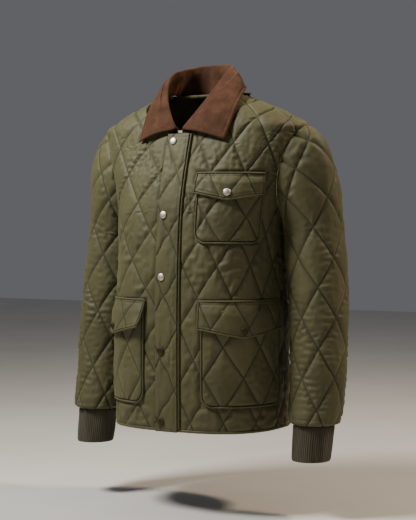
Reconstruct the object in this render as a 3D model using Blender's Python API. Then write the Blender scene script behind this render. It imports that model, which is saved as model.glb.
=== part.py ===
"""A men's quilted jacket with a corduroy collar, hanging in its worn shape.

Metres, +Z up.  The wearer faces -Y and the wearer's left is +X.  The origin is
the middle of the neck, level with the points where the shoulder seams meet the
collar, which is where a wearer's shoulders hold the jacket up.
"""
import math

import bmesh
import bpy
import numpy as np

# ---------------------------------------------------------------- driving sizes
GAP = 0.0003            # between neighbouring pieces
SEAT = 0.0009           # under a piece that is sewn on top of another
QUILT = 0.006           # shell, wadding and lining, quilted together
CUFF_WALL = 0.003       # doubled rib knit
COLLAR_WALL = 0.0035    # corduroy over interfacing

HEM = -0.686            # level of the quilted panels' lower edge
UNDERARM = -0.255
SHOULDER_TIP = -0.0755
NECK_SIDE = -0.004      # level where the shoulder seam meets the neckline
NECK_FRONT = -0.090     # level of the neckline at centre front
NECK_BACK = -0.006      # level of the neckline at centre back
ARMHOLE_FRONT = 0.215   # how far the armhole cuts into the front quarter ring
ARMHOLE_BACK = 0.19     # and into the back quarter ring

PANEL_COLUMNS = 8       # columns of one front panel, and of half the back
SIDE_ROWS = 9           # rows from hem to underarm
ARM_ROWS = 12           # rows along half an armhole
CHEST_ROWS = 7          # of the rows above the underarm, those below the neckline
RING_STEPS = 48         # chords used to measure a quarter ring
RING_LEVELS = 160       # levels at which quarter rings are measured

PLACKET = (-0.0235, 0.0262)     # lengths round the front from centre front
PLACKET_TOP = -0.0935
PLACKET_WALL = 0.0045
BINDING = 0.0042                # width of the bias binding that edges the pieces
HEM_BINDING = 0.005             # its height under the hem
SNAP_RADIUS = 0.0075
SNAP_HEIGHT = 0.0032
SNAP_ACROSS = -0.008            # where the placket's snaps stand
SNAP_LEVELS = (-0.109, -0.257, -0.381, -0.529, -0.672)

INNER_SEAT = 0.0062     # under a strip inside the back neck, where the curve is tight
POCKET_WALL = 0.0035
FLAP_WALL = 0.0035

QUARTER = math.pi / 2


def table(text):
    """Read a short table with a line of column names over its rows."""
    lines = [line.split() for line in text.strip().splitlines()]
    rows = np.array([[float(cell) for cell in line] for line in lines[1:]])
    return {name: rows[:, i] for i, name in enumerate(lines[0])}


# Horizontal rings of the body.  half: half width.  front and back: depths from
# the ring's widest line, which stands at y = mid.  A power of 2 is an ellipse,
# and a higher one is squarer.
BODY = table("""
level    half   front  back   mid    square  round
-0.690   0.180  0.167  0.120  0.010  2.80    2.20
-0.577   0.180  0.168  0.117  0.010  2.80    2.20
-0.433   0.178  0.167  0.111  0.010  2.80    2.20
-0.309   0.175  0.162  0.112  0.010  2.80    2.20
-0.250   0.182  0.157  0.115  0.010  2.60    2.20
-0.206   0.195  0.149  0.117  0.010  2.45    2.20
-0.144   0.217  0.129  0.113  0.007  2.30    2.20
-0.093   0.231  0.110  0.101  0.004  2.20    2.20
-0.0755  0.2328 0.103  0.095  0.003  2.20    2.20
-0.061   0.210  0.096  0.089  0.002  2.20    2.20
-0.043   0.175  0.087  0.080  0.001  2.20    2.20
-0.028   0.140  0.078  0.072  0.000  2.20    2.20
-0.014   0.1055 0.069  0.064  0.000  2.20    2.20
-0.004   0.080  0.062  0.058  0.000  2.20    2.20
""")

# Rings of a sleeve below the cap: centre and half widths across and fore and aft.
SLEEVE = table("""
level    x       y       across  along
-0.300   0.2395  0.0270  0.0605  0.0630
-0.360   0.2460  0.0240  0.0610  0.0635
-0.420   0.2515  0.0200  0.0605  0.0620
-0.480   0.2555  0.0145  0.0588  0.0600
-0.540   0.2585  0.0075  0.0570  0.0580
-0.600   0.2600  0.0000  0.0553  0.0565
-0.640   0.2605  -0.008  0.0540  0.0550
-0.660   0.2605  -0.013  0.0525  0.0535
-0.671   0.2605  -0.016  0.0490  0.0500
-0.675   0.2605  -0.017  0.0425  0.0435
""")

# Directions in which the sleeve cap leaves the armhole, round the armhole from
# the underarm by the front.
CAP = table("""
turn   dx     dy     dz     reach
0      0.20   0.05   -1.00  0.6
90     0.50   -0.15  -0.85  0.9
180    0.86   0.06   -0.48  1.0
270    0.50   0.25   -0.85  0.9
360    0.20   0.05   -1.00  0.6
""")

# Rings of a cuff.
CUFF = table("""
level    x       y       across  along
-0.6753  0.2605  -0.0175 0.0415  0.0425
-0.6830  0.2605  -0.0185 0.0410  0.0420
-0.7100  0.2602  -0.0235 0.0400  0.0410
-0.7450  0.2600  -0.0300 0.0385  0.0395
""")

# The collar's lines, round the neck from centre back: the fold, and the outer
# edge of the leaf, whose last row is the collar's point.  bow: how far the leaf
# stands off the straight line between them.
NECK_MIDDLE = -0.03     # y of the middle of the neck opening
NECK_STEP = 0.0062      # the collar's seam stands this far inside the neckline
COLLAR_SIDE = 75        # the turn at which the collar crosses the shoulder seam
COLLAR = table("""
turn   fx     fy     fz      lx      ly      rx      ry      ez      bow
0      0.000  0.047  0.0595  0.0000  0.0900  0.0000  0.0900  0.0020  0.004
25     0.028  0.042  0.0590  0.0400  0.0780  0.0400  0.0780  0.0035  0.004
50     0.049  0.023  0.0535  0.0680  0.0430  0.0680  0.0430  0.0055  0.005
75     0.0605 -0.003 0.0465  0.0900  0.0050  0.0860  0.0050  0.0050  0.006
100    0.065  -0.027 0.0350  0.1010 -0.0120  0.0930 -0.0160  0.0000  0.007
125    0.059  -0.055 0.0080  0.1110 -0.0440  0.0860 -0.0600 -0.0150  0.006
150    0.042  -0.082 -0.030  0.1150 -0.0850  0.0870 -0.0900 -0.0530  0.006
180    0.009  -0.109 -0.082  0.1055 -0.1065  0.0965 -0.1075 -0.1070  0.007
""")


def smooth(columns, name, at, key="level"):
    """The named column at the places asked for, on smooth curves through its rows."""
    order = np.argsort(columns[key])
    xs = columns[key][order]
    ys = columns[name][order]
    at = np.asarray(at, float)
    run = np.diff(xs)
    rise = np.diff(ys) / run
    slope = np.empty_like(ys)
    slope[1:-1] = (rise[:-1] * run[1:] + rise[1:] * run[:-1]) / (run[:-1] + run[1:])
    slope[0] = rise[0]
    slope[-1] = rise[-1]
    i = np.clip(np.searchsorted(xs, at) - 1, 0, len(run) - 1)
    t = np.clip((at - xs[i]) / run[i], 0.0, 1.0)
    h = run[i]
    from_left = (1 + 2 * t) * (1 - t) ** 2 * ys[i] + t * (1 - t) ** 2 * h * slope[i]
    from_right = t * t * (3 - 2 * t) * ys[i + 1] + t * t * (t - 1) * h * slope[i + 1]
    return from_left + from_right


def unit(vectors):
    return vectors / np.linalg.norm(vectors, axis=-1, keepdims=True)


# ---------------------------------------------------------------- the body's form
def body(turn, level):
    """A point on the body: turn is 0 at centre front and pi at centre back."""
    turn, level = np.broadcast_arrays(np.asarray(turn, float), np.asarray(level, float))
    side = np.sin(turn)
    ahead = np.cos(turn)
    power = np.where(ahead > 0, smooth(BODY, "square", level), smooth(BODY, "round", level))
    depth = np.where(ahead > 0, smooth(BODY, "front", level), smooth(BODY, "back", level))
    x = smooth(BODY, "half", level) * np.sign(side) * np.abs(side) ** (2 / power)
    y = smooth(BODY, "mid", level) - depth * np.sign(ahead) * np.abs(ahead) ** (2 / power)
    return np.stack([x, y, level], -1)


def body_normal(turn, level):
    """The outward direction there."""
    turn, level = np.broadcast_arrays(np.asarray(turn, float), np.asarray(level, float))
    step_turn = 0.02
    step_level = 0.002
    low = np.maximum(level - step_level, HEM)
    high = np.minimum(level + step_level, NECK_SIDE)
    along = body(turn + step_turn, level) - body(turn - step_turn, level)
    up = body(turn, high) - body(turn, low)
    return unit(np.cross(along, up))


def measure_rings(behind):
    """Lengths from the centre line along the quarter rings at even levels."""
    levels = np.linspace(HEM, NECK_SIDE, RING_LEVELS)
    turns = np.linspace(0, QUARTER, RING_STEPS + 1)
    points = body(math.pi - turns if behind else turns, levels[:, None])
    chords = np.linalg.norm(np.diff(points, axis=1), axis=2)
    start = np.zeros((RING_LEVELS, 1))
    return levels, np.concatenate([start, np.cumsum(chords, axis=1)], axis=1)


RINGS = {behind: measure_rings(behind) for behind in (False, True)}


def lengths_at(level, behind):
    """The measured lengths round the quarter ring at a level."""
    levels, lengths = RINGS[behind]
    at = (np.asarray(level, float) - levels[0]) / (levels[1] - levels[0])
    below = np.clip(np.floor(at).astype(int), 0, RING_LEVELS - 2)
    part = np.clip(at - below, 0, 1)[..., None]
    return lengths[below] * (1 - part) + lengths[below + 1] * part


def turn_at_length(length, level, behind=False):
    """Turn at a length round the front from centre front, negative on the right."""
    length, level = np.broadcast_arrays(np.asarray(length, float), np.asarray(level, float))
    marks = lengths_at(level, behind)
    away = np.abs(length)[..., None]
    step = np.clip((marks <= away).sum(-1) - 1, 0, RING_STEPS - 1)[..., None]
    low = np.take_along_axis(marks, step, -1)
    high = np.take_along_axis(marks, step + 1, -1)
    turn = (step + (away - low) / (high - low))[..., 0] * QUARTER / RING_STEPS
    return np.where(length < 0, -1, 1) * (math.pi - turn if behind else turn)


def turn_at_share(share, level, behind=False):
    """Turn at a share of the quarter ring, from the centre line to the side."""
    total = lengths_at(level, behind)[..., -1]
    turn = turn_at_length(np.maximum(share, 1e-9) * total, level, behind)
    return turn


def on_front(length, level, out=0.0):
    """Points of the front at lengths from centre front, lifted off the cloth."""
    turn = turn_at_length(length, level)
    return body(turn, level) + body_normal(turn, level) * np.asarray(out, float)[..., None]


# ---------------------------------------------------------------- panel outlines
def armhole(behind):
    """(share, level) down half an armhole, from underarm to shoulder tip."""
    t = np.linspace(0, math.pi, ARM_ROWS + 1)
    level = UNDERARM + (SHOULDER_TIP - UNDERARM) * (1 - np.cos(t)) / 2
    reach = ARMHOLE_BACK if behind else ARMHOLE_FRONT
    return 1 - reach * np.sin(t), level


def neckline(behind, along):
    """(share, level) on half the neckline, from the centre line, 0, to the shoulder, 1."""
    t = np.asarray(along) * QUARTER
    centre = NECK_BACK if behind else NECK_FRONT
    level = NECK_SIDE + (centre - NECK_SIDE) * np.cos(t)
    whole = lengths_at(NECK_SIDE, behind)[-1]
    return whole * np.sin(t) / lengths_at(level, behind)[..., -1], level


def panel_coordinates(behind):
    """(turn, level) grids of half the front or half the back, hem first.

    The four sides are the hem, the shoulder seam, the centre line with the
    neckline, and the side seam with the armhole.  What lies between them is
    blended from all four.
    """
    neck_rows = ARM_ROWS - CHEST_ROWS
    top = NECK_BACK if behind else NECK_FRONT
    neck_share, neck_level = neckline(behind, np.linspace(0, 1, neck_rows + 1))
    arm_share, arm_level = armhole(behind)
    centre_level = np.concatenate([
        np.linspace(HEM, UNDERARM, SIDE_ROWS + 1)[:-1],
        np.linspace(UNDERARM, top, CHEST_ROWS + 1)[:-1], neck_level])
    centre_share = np.concatenate([np.zeros(SIDE_ROWS + CHEST_ROWS), neck_share])
    side_level = np.concatenate([np.linspace(HEM, UNDERARM, SIDE_ROWS + 1)[:-1], arm_level])
    side_share = np.concatenate([np.ones(SIDE_ROWS), arm_share])
    across = np.linspace(0, 1, PANEL_COLUMNS + 1)[None, :]
    up = np.linspace(0, 1, len(side_level))[:, None]
    hem = {"share": across, "level": np.full_like(across, HEM)}
    shoulder = {"share": np.ones_like(across),
                "level": NECK_SIDE + (SHOULDER_TIP - NECK_SIDE) * across}
    sides = {"share": (centre_share[:, None], side_share[:, None]),
             "level": (centre_level[:, None], side_level[:, None])}
    grid = {}
    for name in ("share", "level"):
        left, right = sides[name]
        low, high = hem[name], shoulder[name]
        corners = ((1 - up) * ((1 - across) * left[0] + across * right[0])
                   + up * ((1 - across) * left[-1] + across * right[-1]))
        grid[name] = ((1 - across) * left + across * right
                      + (1 - up) * low + up * high - corners)
    return turn_at_share(grid["share"], grid["level"], behind), grid["level"]


# ---------------------------------------------------------------- solids
def srgb(red, green, blue):
    """Linear colour of the 0 to 255 values that a screen shows."""
    channels = [value / 255 for value in (red, green, blue)]
    return tuple(c / 12.92 if c < 0.04045 else ((c + 0.055) / 1.055) ** 2.4 for c in channels)


def material(name, colour, roughness, metallic=0.0):
    made = bpy.data.materials.get(name)
    if made is None:
        made = bpy.data.materials.new(name)
        made.use_nodes = True
        shader = made.node_tree.nodes["Principled BSDF"]
        shader.inputs["Base Color"].default_value = (*srgb(*colour), 1)
        shader.inputs["Roughness"].default_value = roughness
        shader.inputs["Metallic"].default_value = metallic
        made.diffuse_color = (*srgb(*colour), 1)
    return made


def olive_nylon():
    return material("olive_nylon", (92, 92, 66), 0.55)


def olive_binding():
    return material("olive_binding", (88, 88, 62), 0.6)


def brown_corduroy():
    return material("brown_corduroy", (92, 58, 40), 0.9)


def olive_rib():
    return material("olive_rib", (84, 82, 66), 0.9)


def nickel():
    return material("nickel", (190, 180, 165), 0.3, 1.0)


def dark_bronze():
    return material("dark_bronze", (96, 78, 60), 0.4, 1.0)


def add_object(name, mesh, finish):
    mesh.materials.append(finish)
    mesh.shade_smooth()
    mesh.set_sharp_from_angle(angle=math.radians(40))
    made = bpy.data.objects.new(name, mesh)
    bpy.context.collection.objects.link(made)
    return made


def mesh_from(points, faces, name):
    """A closed mesh whose faces point out."""
    shape = bmesh.new()
    verts = [shape.verts.new(point) for point in points]
    for face in faces:
        shape.faces.new([verts[i] for i in face])
    bmesh.ops.recalc_face_normals(shape, faces=shape.faces)
    if shape.calc_volume(signed=True) < 0:
        bmesh.ops.reverse_faces(shape, faces=shape.faces)
    mesh = bpy.data.meshes.new(name)
    shape.to_mesh(mesh)
    shape.free()
    return mesh


def wall(name, outer, inner, finish, round_columns=False):
    """A sheet of cloth between two grids of points, closed along its edges."""
    rows, columns = outer.shape[:2]
    count = rows * columns
    points = np.concatenate([outer.reshape(-1, 3), inner.reshape(-1, 3)])
    last = columns if round_columns else columns - 1
    faces = []
    for r in range(rows - 1):
        for c in range(last):
            d = (c + 1) % columns
            quad = (r * columns + c, r * columns + d, (r + 1) * columns + d, (r + 1) * columns + c)
            faces.append(quad)
            faces.append(tuple(count + i for i in reversed(quad)))
    rims = [[(0, c) for c in range(columns)], [(rows - 1, c) for c in range(columns)]]
    closed = [round_columns, round_columns]
    if not round_columns:
        rims += [[(r, 0) for r in range(rows)], [(r, columns - 1) for r in range(rows)]]
        closed += [False, False]
    for rim, loops in zip(rims, closed):
        ids = [r * columns + c for r, c in rim]
        pairs = list(zip(ids, ids[1:])) + ([(ids[-1], ids[0])] if loops else [])
        faces += [(a, b, count + b, count + a) for a, b in pairs]
    return add_object(name, mesh_from(points, faces, name), finish)


def tube(name, path, sections, finish, closed=False):
    """A bar whose cross-sections, one for each point of a path, are joined up."""
    count = len(sections[0])
    points = np.concatenate(sections)
    faces = []
    last = len(path) if closed else len(path) - 1
    for k in range(last):
        near = k * count
        far = ((k + 1) % len(path)) * count
        faces += [(near + i, near + (i + 1) % count, far + (i + 1) % count, far + i)
                  for i in range(count)]
    if not closed:
        end = (len(path) - 1) * count
        faces += [tuple(range(count)), tuple(end + i for i in reversed(range(count)))]
    return add_object(name, mesh_from(points, faces, name), finish)


def mirrored(points):
    return points * np.array([-1.0, 1.0, 1.0])


# ---------------------------------------------------------------- panels
def half_panel(behind):
    """Outer and inner points of half the front or back, on the wearer's left."""
    turn, level = panel_coordinates(behind)
    outer = body(turn, level)
    normal = body_normal(turn, level)
    # half a gap is left at the side seam, the armhole and the shoulder seam
    step = (outer[:, -2] - outer[:, -1])
    outer[:, -1] += unit(step) * GAP / 2
    step = (outer[-2, :] - outer[-1, :])
    outer[-1, :] += unit(step) * GAP / 2
    return outer, outer - normal * QUILT


def front_panels():
    outer, inner = half_panel(behind=False)
    for points in (outer, inner):
        points[:, 0, 0] = np.maximum(points[:, 0, 0], GAP / 2)
    wall("front_left", outer, inner, olive_nylon())
    wall("front_right", mirrored(outer), mirrored(inner), olive_nylon())


def back_panel():
    outer, inner = half_panel(behind=True)
    whole = [np.concatenate([mirrored(half)[:, :0:-1], half], axis=1) for half in (outer, inner)]
    wall("back", whole[0], whole[1], olive_nylon())


# ---------------------------------------------------------------- sleeves
def armhole_loop():
    """The armhole's points, from the underarm by the front, over and down the back."""
    halves = []
    for behind in (False, True):
        share, level = armhole(behind)
        halves.append(body(turn_at_share(share, level, behind), level))
    return np.concatenate([halves[0], halves[1][-2:0:-1]])


def ring(columns, level, turn):
    """A level ring of a sleeve or cuff, from its inner side by the front."""
    across = smooth(columns, "across", level)
    along = smooth(columns, "along", level)
    x = smooth(columns, "x", level) - across * np.cos(turn)
    y = smooth(columns, "y", level) - along * np.sin(turn)
    return np.stack([x, y, np.full_like(x, level)], -1)


def sleeve_rows():
    """Rings of points down a sleeve, from the armhole to the cuff."""
    start = armhole_loop()
    turn = np.linspace(0, 2 * math.pi, len(start) + 1)[:-1]
    degrees = np.degrees(turn)
    leave = unit(np.stack([smooth(CAP, d, degrees, "turn") for d in ("dx", "dy", "dz")], -1))
    reach = smooth(CAP, "reach", degrees, "turn")[:, None]
    start = start + leave * GAP
    top_level = SLEEVE["level"][0]
    end = ring(SLEEVE, top_level, turn)
    arrive = unit(ring(SLEEVE, top_level - 0.03, turn) - end)
    far = np.linalg.norm(end - start, axis=1)[:, None] * reach
    rows = []
    for t in (0, 0.1, 0.25, 0.42, 0.6, 0.8):
        rows.append((1 + 2 * t) * (1 - t) ** 2 * start + t * t * (3 - 2 * t) * end
                    + t * (1 - t) ** 2 * far * leave + t * t * (t - 1) * far * arrive)
    rows += [ring(SLEEVE, level, turn) for level in SLEEVE["level"]]
    return np.array(rows)


def round_normals(rows):
    """Outward directions of rows of rings."""
    down = np.gradient(rows, axis=0)
    along = np.roll(rows, -1, axis=1) - np.roll(rows, 1, axis=1)
    return unit(np.cross(down, along))


def sleeves():
    outer = sleeve_rows()
    inner = outer - round_normals(outer) * QUILT
    wall("sleeve_left", outer, inner, olive_nylon(), round_columns=True)
    wall("sleeve_right", mirrored(outer), mirrored(inner), olive_nylon(), round_columns=True)


def cuffs():
    turn = np.linspace(0, 2 * math.pi, 2 * ARM_ROWS + 1)[:-1]
    outer = np.array([ring(CUFF, level, turn) for level in CUFF["level"]])
    inner = outer - round_normals(outer) * CUFF_WALL
    wall("cuff_left", outer, inner, olive_rib(), round_columns=True)
    wall("cuff_right", mirrored(outer), mirrored(inner), olive_rib(), round_columns=True)


# ---------------------------------------------------------------- collar
def neck_seam(turn):
    """The neckline's points at turns round the neck, 0 at centre back."""
    behind = turn <= COLLAR_SIDE
    along = np.where(behind, turn / COLLAR_SIDE, (180 - turn) / (180 - COLLAR_SIDE))
    halves = []
    for rear in (True, False):
        share, level = neckline(rear, along)
        halves.append(body(turn_at_share(share, level, rear), level))
    points = np.where(behind[:, None], *halves)
    inward = unit(np.array([0.0, NECK_MIDDLE, 0.0]) - points * [1, 1, 0])
    return points + inward * NECK_STEP + np.array([0, 0, SEAT])


def collar_half(turn, side):
    """Half the collar's middle surface, from the neck seam over the fold to the leaf's edge.

    The wearer's right leaf lies closer to the neck than the left one.
    """
    seam = neck_seam(turn)
    seam[-1, 0] = 0.006
    fold = np.stack([smooth(COLLAR, name, turn, "turn") for name in ("fx", "fy", "fz")], -1)
    names = ("lx", "ly", "ez") if side > 0 else ("rx", "ry", "ez")
    edge = np.stack([smooth(COLLAR, name, turn, "turn") for name in names], -1)
    out = unit(fold * [1, 1, 0] - [0, -0.02, 0])
    stand = unit(seam - fold)
    leaf = unit(edge - fold)
    tall = np.linalg.norm(seam - fold, axis=1)[:, None]
    drop = np.minimum(0.009, 0.45 * tall)
    rows = [seam, (seam + fold) / 2 - out * 0.002 * (tall > 0.02)]
    rows.append(fold + stand * drop - out * 0.0028 * drop / 0.009)
    rows.append(fold)
    bow = smooth(COLLAR, "bow", turn, "turn")[:, None]
    rows.append(fold + leaf * 0.009 + out * 0.0038 * drop / 0.009)
    lift = np.cross(leaf, np.gradient(fold, axis=0))
    lift = unit(lift) * np.sign((unit(lift) * (out + [0, 0, 0.3])).sum(1))[:, None]
    for t in (0.35, 0.6, 0.82, 1.0):
        rows.append(fold + (edge - fold) * t + lift * bow * 4 * t * (1 - t))
    return np.array(rows)


def collar():
    """Stand and leaf in one, folded over all round the neck."""
    turn = np.array([0, 15, 30, 45, 60, 75, 90, 105, 120, 135, 150, 165, 180.0])
    whole = np.concatenate([mirrored(collar_half(turn, -1))[:, :0:-1], collar_half(turn, 1)],
                           axis=1)
    normal = unit(np.cross(np.gradient(whole, axis=0), np.gradient(whole, axis=1)))
    half = normal * COLLAR_WALL / 2
    wall("collar", whole + half, whole - half, brown_corduroy())


def neck_binding():
    """The bound seam inside the back neck, under the collar's stand."""
    across = np.linspace(-0.050, 0.050, 13)[None, :]
    level = NECK_BACK - 0.005 - np.array([0.0, 0.004, 0.008])[:, None] + 0 * across
    turn = turn_at_length(across, level, True)
    points = body(turn, level)
    normal = body_normal(turn, level)
    inside = QUILT + INNER_SEAT
    wall("neck_binding", points - normal * inside, points - normal * (inside + 0.0015),
         olive_binding())


def hanger_loop():
    """A cloth loop at the inside back neck, its ends caught by the binding."""
    across = np.linspace(-0.036, 0.036, 9)
    sag = 1 - (across / 0.036) ** 2
    turn = turn_at_length(across, np.full_like(across, -0.03), True)
    level = NECK_BACK - 0.0145 - 0.003 * sag
    turns = np.stack([turn, turn])
    levels = np.stack([level, level - 0.006])
    points = body(turns, levels)
    normal = body_normal(turns, levels)
    away = QUILT + 2 * SEAT + 0.004 * sag
    wall("hanger_loop", points - normal * away[None, :, None],
         points - normal * (away + 0.0012)[None, :, None], olive_binding())


# ---------------------------------------------------------------- front closure
def placket():
    """The strip over the zip, sewn to the left front along its far edge."""
    across = np.linspace(PLACKET[0], PLACKET[1], 4)[None, :]
    level = np.linspace(HEM - HEM_BINDING, PLACKET_TOP, 19)[:, None]
    top = np.maximum(level, HEM)
    outer = on_front(across + 0 * level, top + 0 * across, SEAT + PLACKET_WALL)
    inner = on_front(across + 0 * level, top + 0 * across, SEAT)
    for points in (outer, inner):
        points[..., 2] += level - top
    wall("placket", outer, inner, olive_nylon())


def placket_binding():
    """The binding along the placket's seam."""
    across = PLACKET[1] + GAP * 2 + np.array([0.0, BINDING])[None, :]
    level = np.linspace(HEM + GAP, PLACKET_TOP, 19)[:, None]
    outer = on_front(across + 0 * level, level + 0 * across, SEAT + 0.003)
    inner = on_front(across + 0 * level, level + 0 * across, SEAT)
    wall("placket_binding", outer, inner, olive_binding())


def zip_end():
    """The metal top stops of the closed zip, showing over the placket."""
    wide, thick, tall = 0.010, 0.003, 0.0045
    top = body(0.0, NECK_FRONT)
    middle = top + np.array([0, QUILT / 2, GAP + tall / 2])
    corners = [(i, j, k) for i in (-1, 1) for j in (-1, 1) for k in (-1, 1)]
    half = np.array([wide, thick, tall]) / 2
    points = [middle + half * corner for corner in corners]
    faces = [(0, 1, 3, 2), (4, 6, 7, 5), (0, 4, 5, 1), (2, 3, 7, 6), (0, 2, 6, 4), (1, 5, 7, 3)]
    add_object("zip_end", mesh_from(points, faces, "zip_end"), nickel())


def hem_binding():
    """The bias binding under the hem, from centre front round to centre front."""
    turn_front, _ = panel_coordinates(False)
    turn_back, _ = panel_coordinates(True)
    half = np.concatenate([turn_front[0], turn_back[0][-2::-1]])
    turn = np.concatenate([half, -half[-2::-1]])
    edge = body(turn, HEM)
    normal = body_normal(turn, HEM)
    normal[:, 2] = 0
    normal = unit(normal)
    edge[0, 0] = GAP
    edge[-1, 0] = -GAP
    low = np.array([0, 0, -HEM_BINDING])
    high = np.array([0, 0, -GAP])
    sections = [[p + high, p + low, p + low - n * QUILT, p + high - n * QUILT]
                for p, n in zip(edge, normal)]
    tube("hem_binding", edge, sections, olive_binding())


def snap(name, place, normal, finish):
    """A snap's round cap, standing on a spot with the normal given."""
    sides = 10
    profile = [(SNAP_RADIUS, 0.0), (SNAP_RADIUS, 0.35), (0.75 * SNAP_RADIUS, 0.85),
               (0.35 * SNAP_RADIUS, 1.0)]
    across = unit(np.cross([0.0, 0.0, 1.0], normal))
    up = np.cross(normal, across)
    sections = []
    for radius, height in profile:
        angle = np.linspace(0, 2 * math.pi, sides + 1)[:-1, None]
        circle = across * np.cos(angle) + up * np.sin(angle)
        sections.append(place + normal * height * SNAP_HEIGHT + circle * radius)
    tube(name, profile, sections, finish)


def placket_snaps():
    for number, level in enumerate(SNAP_LEVELS, start=1):
        turn = turn_at_length(SNAP_ACROSS, level)
        normal = body_normal(turn, level)
        place = body(turn, level) + normal * (SEAT + PLACKET_WALL + 2 * GAP)
        finish = nickel() if number <= BRIGHT_SNAPS else dark_bronze()
        snap(f"placket_snap_{number}", place, normal, finish)


# ---------------------------------------------------------------- pockets
def edge_binding(name, across, level, out, closed=False):
    """A square bar of binding along a line on the front."""
    points = on_front(across, level, out)
    turn = turn_at_length(across, level)
    normal = body_normal(turn, level)
    ahead = np.roll(points, -1, axis=0) - np.roll(points, 1, axis=0)
    if not closed:
        ahead[0] = points[1] - points[0]
        ahead[-1] = points[-1] - points[-2]
    beside = unit(np.cross(normal, ahead)) * BINDING / 2
    lift = normal * POCKET_WALL
    sections = [[p - b, p + b, p + b + n, p - b + n] for p, b, n in zip(points, beside, lift)]
    tube(name, points, sections, olive_binding(), closed)


def pocket_outline(spec, margin):
    """(length, level) down one side, round the bottom and up the other."""
    left, right = spec["left"] - margin, spec["right"] + margin
    bottom = spec["bottom"] - margin
    radius = spec["corner"] + margin
    top = spec["opening"]
    bend = np.linspace(0, QUARTER, 4)
    across = [left] * 5
    level = list(np.linspace(top, bottom + radius, 5))
    across += list(left + radius - radius * np.cos(bend))[1:]
    level += list(bottom + radius - radius * np.sin(bend))[1:]
    flat = np.linspace(left + radius, right - radius, 6)[1:-1]
    across += list(flat)
    level += [bottom] * len(flat)
    across += list(right - radius + radius * np.sin(bend))
    level += list(bottom + radius - radius * np.cos(bend))
    rise = np.linspace(bottom + radius, top, 5)[1:]
    across += [right] * len(rise)
    level += list(rise)
    return np.array(across), np.array(level)


def pocket(name, spec):
    """A patch pocket with round lower corners, and the piping round it."""
    side = spec["side"]
    tall = spec["opening"] - spec["bottom"]
    down = np.linspace(0, 1 - spec["corner"] / tall, 5)[:-1]
    bend = np.linspace(0, 0.8 * QUARTER, 3)
    depth = np.concatenate([down * tall, tall - spec["corner"] * (1 - np.sin(bend)), [tall]])
    drop = np.clip(depth - (tall - spec["corner"]), 0, spec["corner"])
    inset = spec["corner"] - np.sqrt(np.maximum(spec["corner"] ** 2 - drop ** 2, 0))
    left = spec["left"] + inset
    right = spec["right"] - inset
    share = np.linspace(0, 1, 8)[None, :]
    across = side * (left[:, None] * (1 - share) + right[:, None] * share)
    level = (spec["opening"] - depth)[:, None] + 0 * share
    wall(name, on_front(across, level, SEAT + POCKET_WALL), on_front(across, level, SEAT),
         olive_nylon())
    across, level = pocket_outline(spec, BINDING / 2 + 4 * GAP)
    edge_binding(name + "_piping", side * across, level, SEAT)


def flap_depth(spec, share):
    """How far down a flap hangs, at shares of its width."""
    tip = spec["tip"]
    rise = np.where(share < tip, share / tip, (1 - share) / (1 - tip))
    return spec["hang"] + spec["point"] * rise


def flap(name, spec):
    """A pointed flap that lies over its pocket's mouth, bound all round."""
    side = spec["side"]
    share = np.linspace(0, 1, 9)[None, :]
    down = np.array([0, 0.22, 0.45, 0.72, 1.0])[:, None]
    base = spec["flap_left"] + (spec["flap_right"] - spec["flap_left"]) * share
    lifted = spec["lift"] * down ** 2 * (1 - share) ** 2
    across = side * (base + lifted * 0.8)
    level = spec["top"] - down * flap_depth(spec, share)
    over = SEAT + (POCKET_WALL + SEAT) * np.clip(down / 0.22, 0, 1) + lifted
    wall(name, on_front(across, level, over + FLAP_WALL), on_front(across, level, over),
         olive_nylon())
    reach = BINDING / 2 + GAP
    shares = np.concatenate([share[0], np.full(3, 1.0), share[0][::-1], np.full(3, 0.0)])
    downs = np.concatenate([np.zeros(9), down[1:-1, 0], np.ones(9), down[1:-1, 0][::-1]])
    width = spec["flap_right"] - spec["flap_left"]
    beyond = np.where(shares == 0, -reach, np.where(shares == 1, reach, 0))
    lifted = spec["lift"] * downs ** 2 * (1 - shares) ** 2
    across = spec["flap_left"] + width * shares + beyond + lifted * 0.8
    level = spec["top"] - downs * flap_depth(spec, shares)
    level += np.where(downs == 0, reach, np.where(downs == 1, -reach, 0))
    over = SEAT + (POCKET_WALL + SEAT) * np.clip(downs / 0.22, 0, 1) + lifted
    edge_binding(name + "_binding", side * across, level, over, closed=True)
    spot = spec["flap_left"] + width * spec["tip"]
    level = spec["top"] - flap_depth(spec, spec["tip"]) + spec["snap_up"]
    turn = turn_at_length(side * spot, level)
    normal = body_normal(turn, level)
    rest = SEAT + POCKET_WALL + SEAT + FLAP_WALL + 2 * GAP
    rest += spec["lift"] * (1 - spec["tip"]) ** 2 * 0.85
    finish = nickel() if spec["bright"] else dark_bronze()
    snap(name + "_snap", body(turn, level) + normal * rest, normal, finish)


CHEST = {"side": 1, "left": 0.0650, "right": 0.1930, "opening": -0.190, "bottom": -0.309,
         "corner": 0.018, "flap_left": 0.0590, "flap_right": 0.1895, "top": -0.176,
         "hang": 0.036, "point": 0.013, "tip": 0.48, "snap_up": 0.012, "lift": 0.0,
         "bright": True}
LOWER_LEFT = {"side": 1, "left": 0.0820, "right": 0.2540, "opening": -0.446,
              "bottom": -0.634, "corner": 0.020, "flap_left": 0.0755, "flap_right": 0.2600,
              "top": -0.430, "hang": 0.050, "point": 0.017, "tip": 0.47, "snap_up": 0.012,
              "lift": 0.0, "bright": False}
LOWER_RIGHT = dict(LOWER_LEFT, side=-1, left=0.0590, right=0.2310, flap_left=0.0540,
                   flap_right=0.2370, lift=0.010)
BRIGHT_SNAPS = 3        # the placket's upper snaps are bright, the others dark


def pockets():
    for name, spec in (("chest", CHEST), ("lower_left", LOWER_LEFT),
                       ("lower_right", LOWER_RIGHT)):
        pocket(name + "_pocket", spec)
        flap(name + "_flap", spec)


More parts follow.
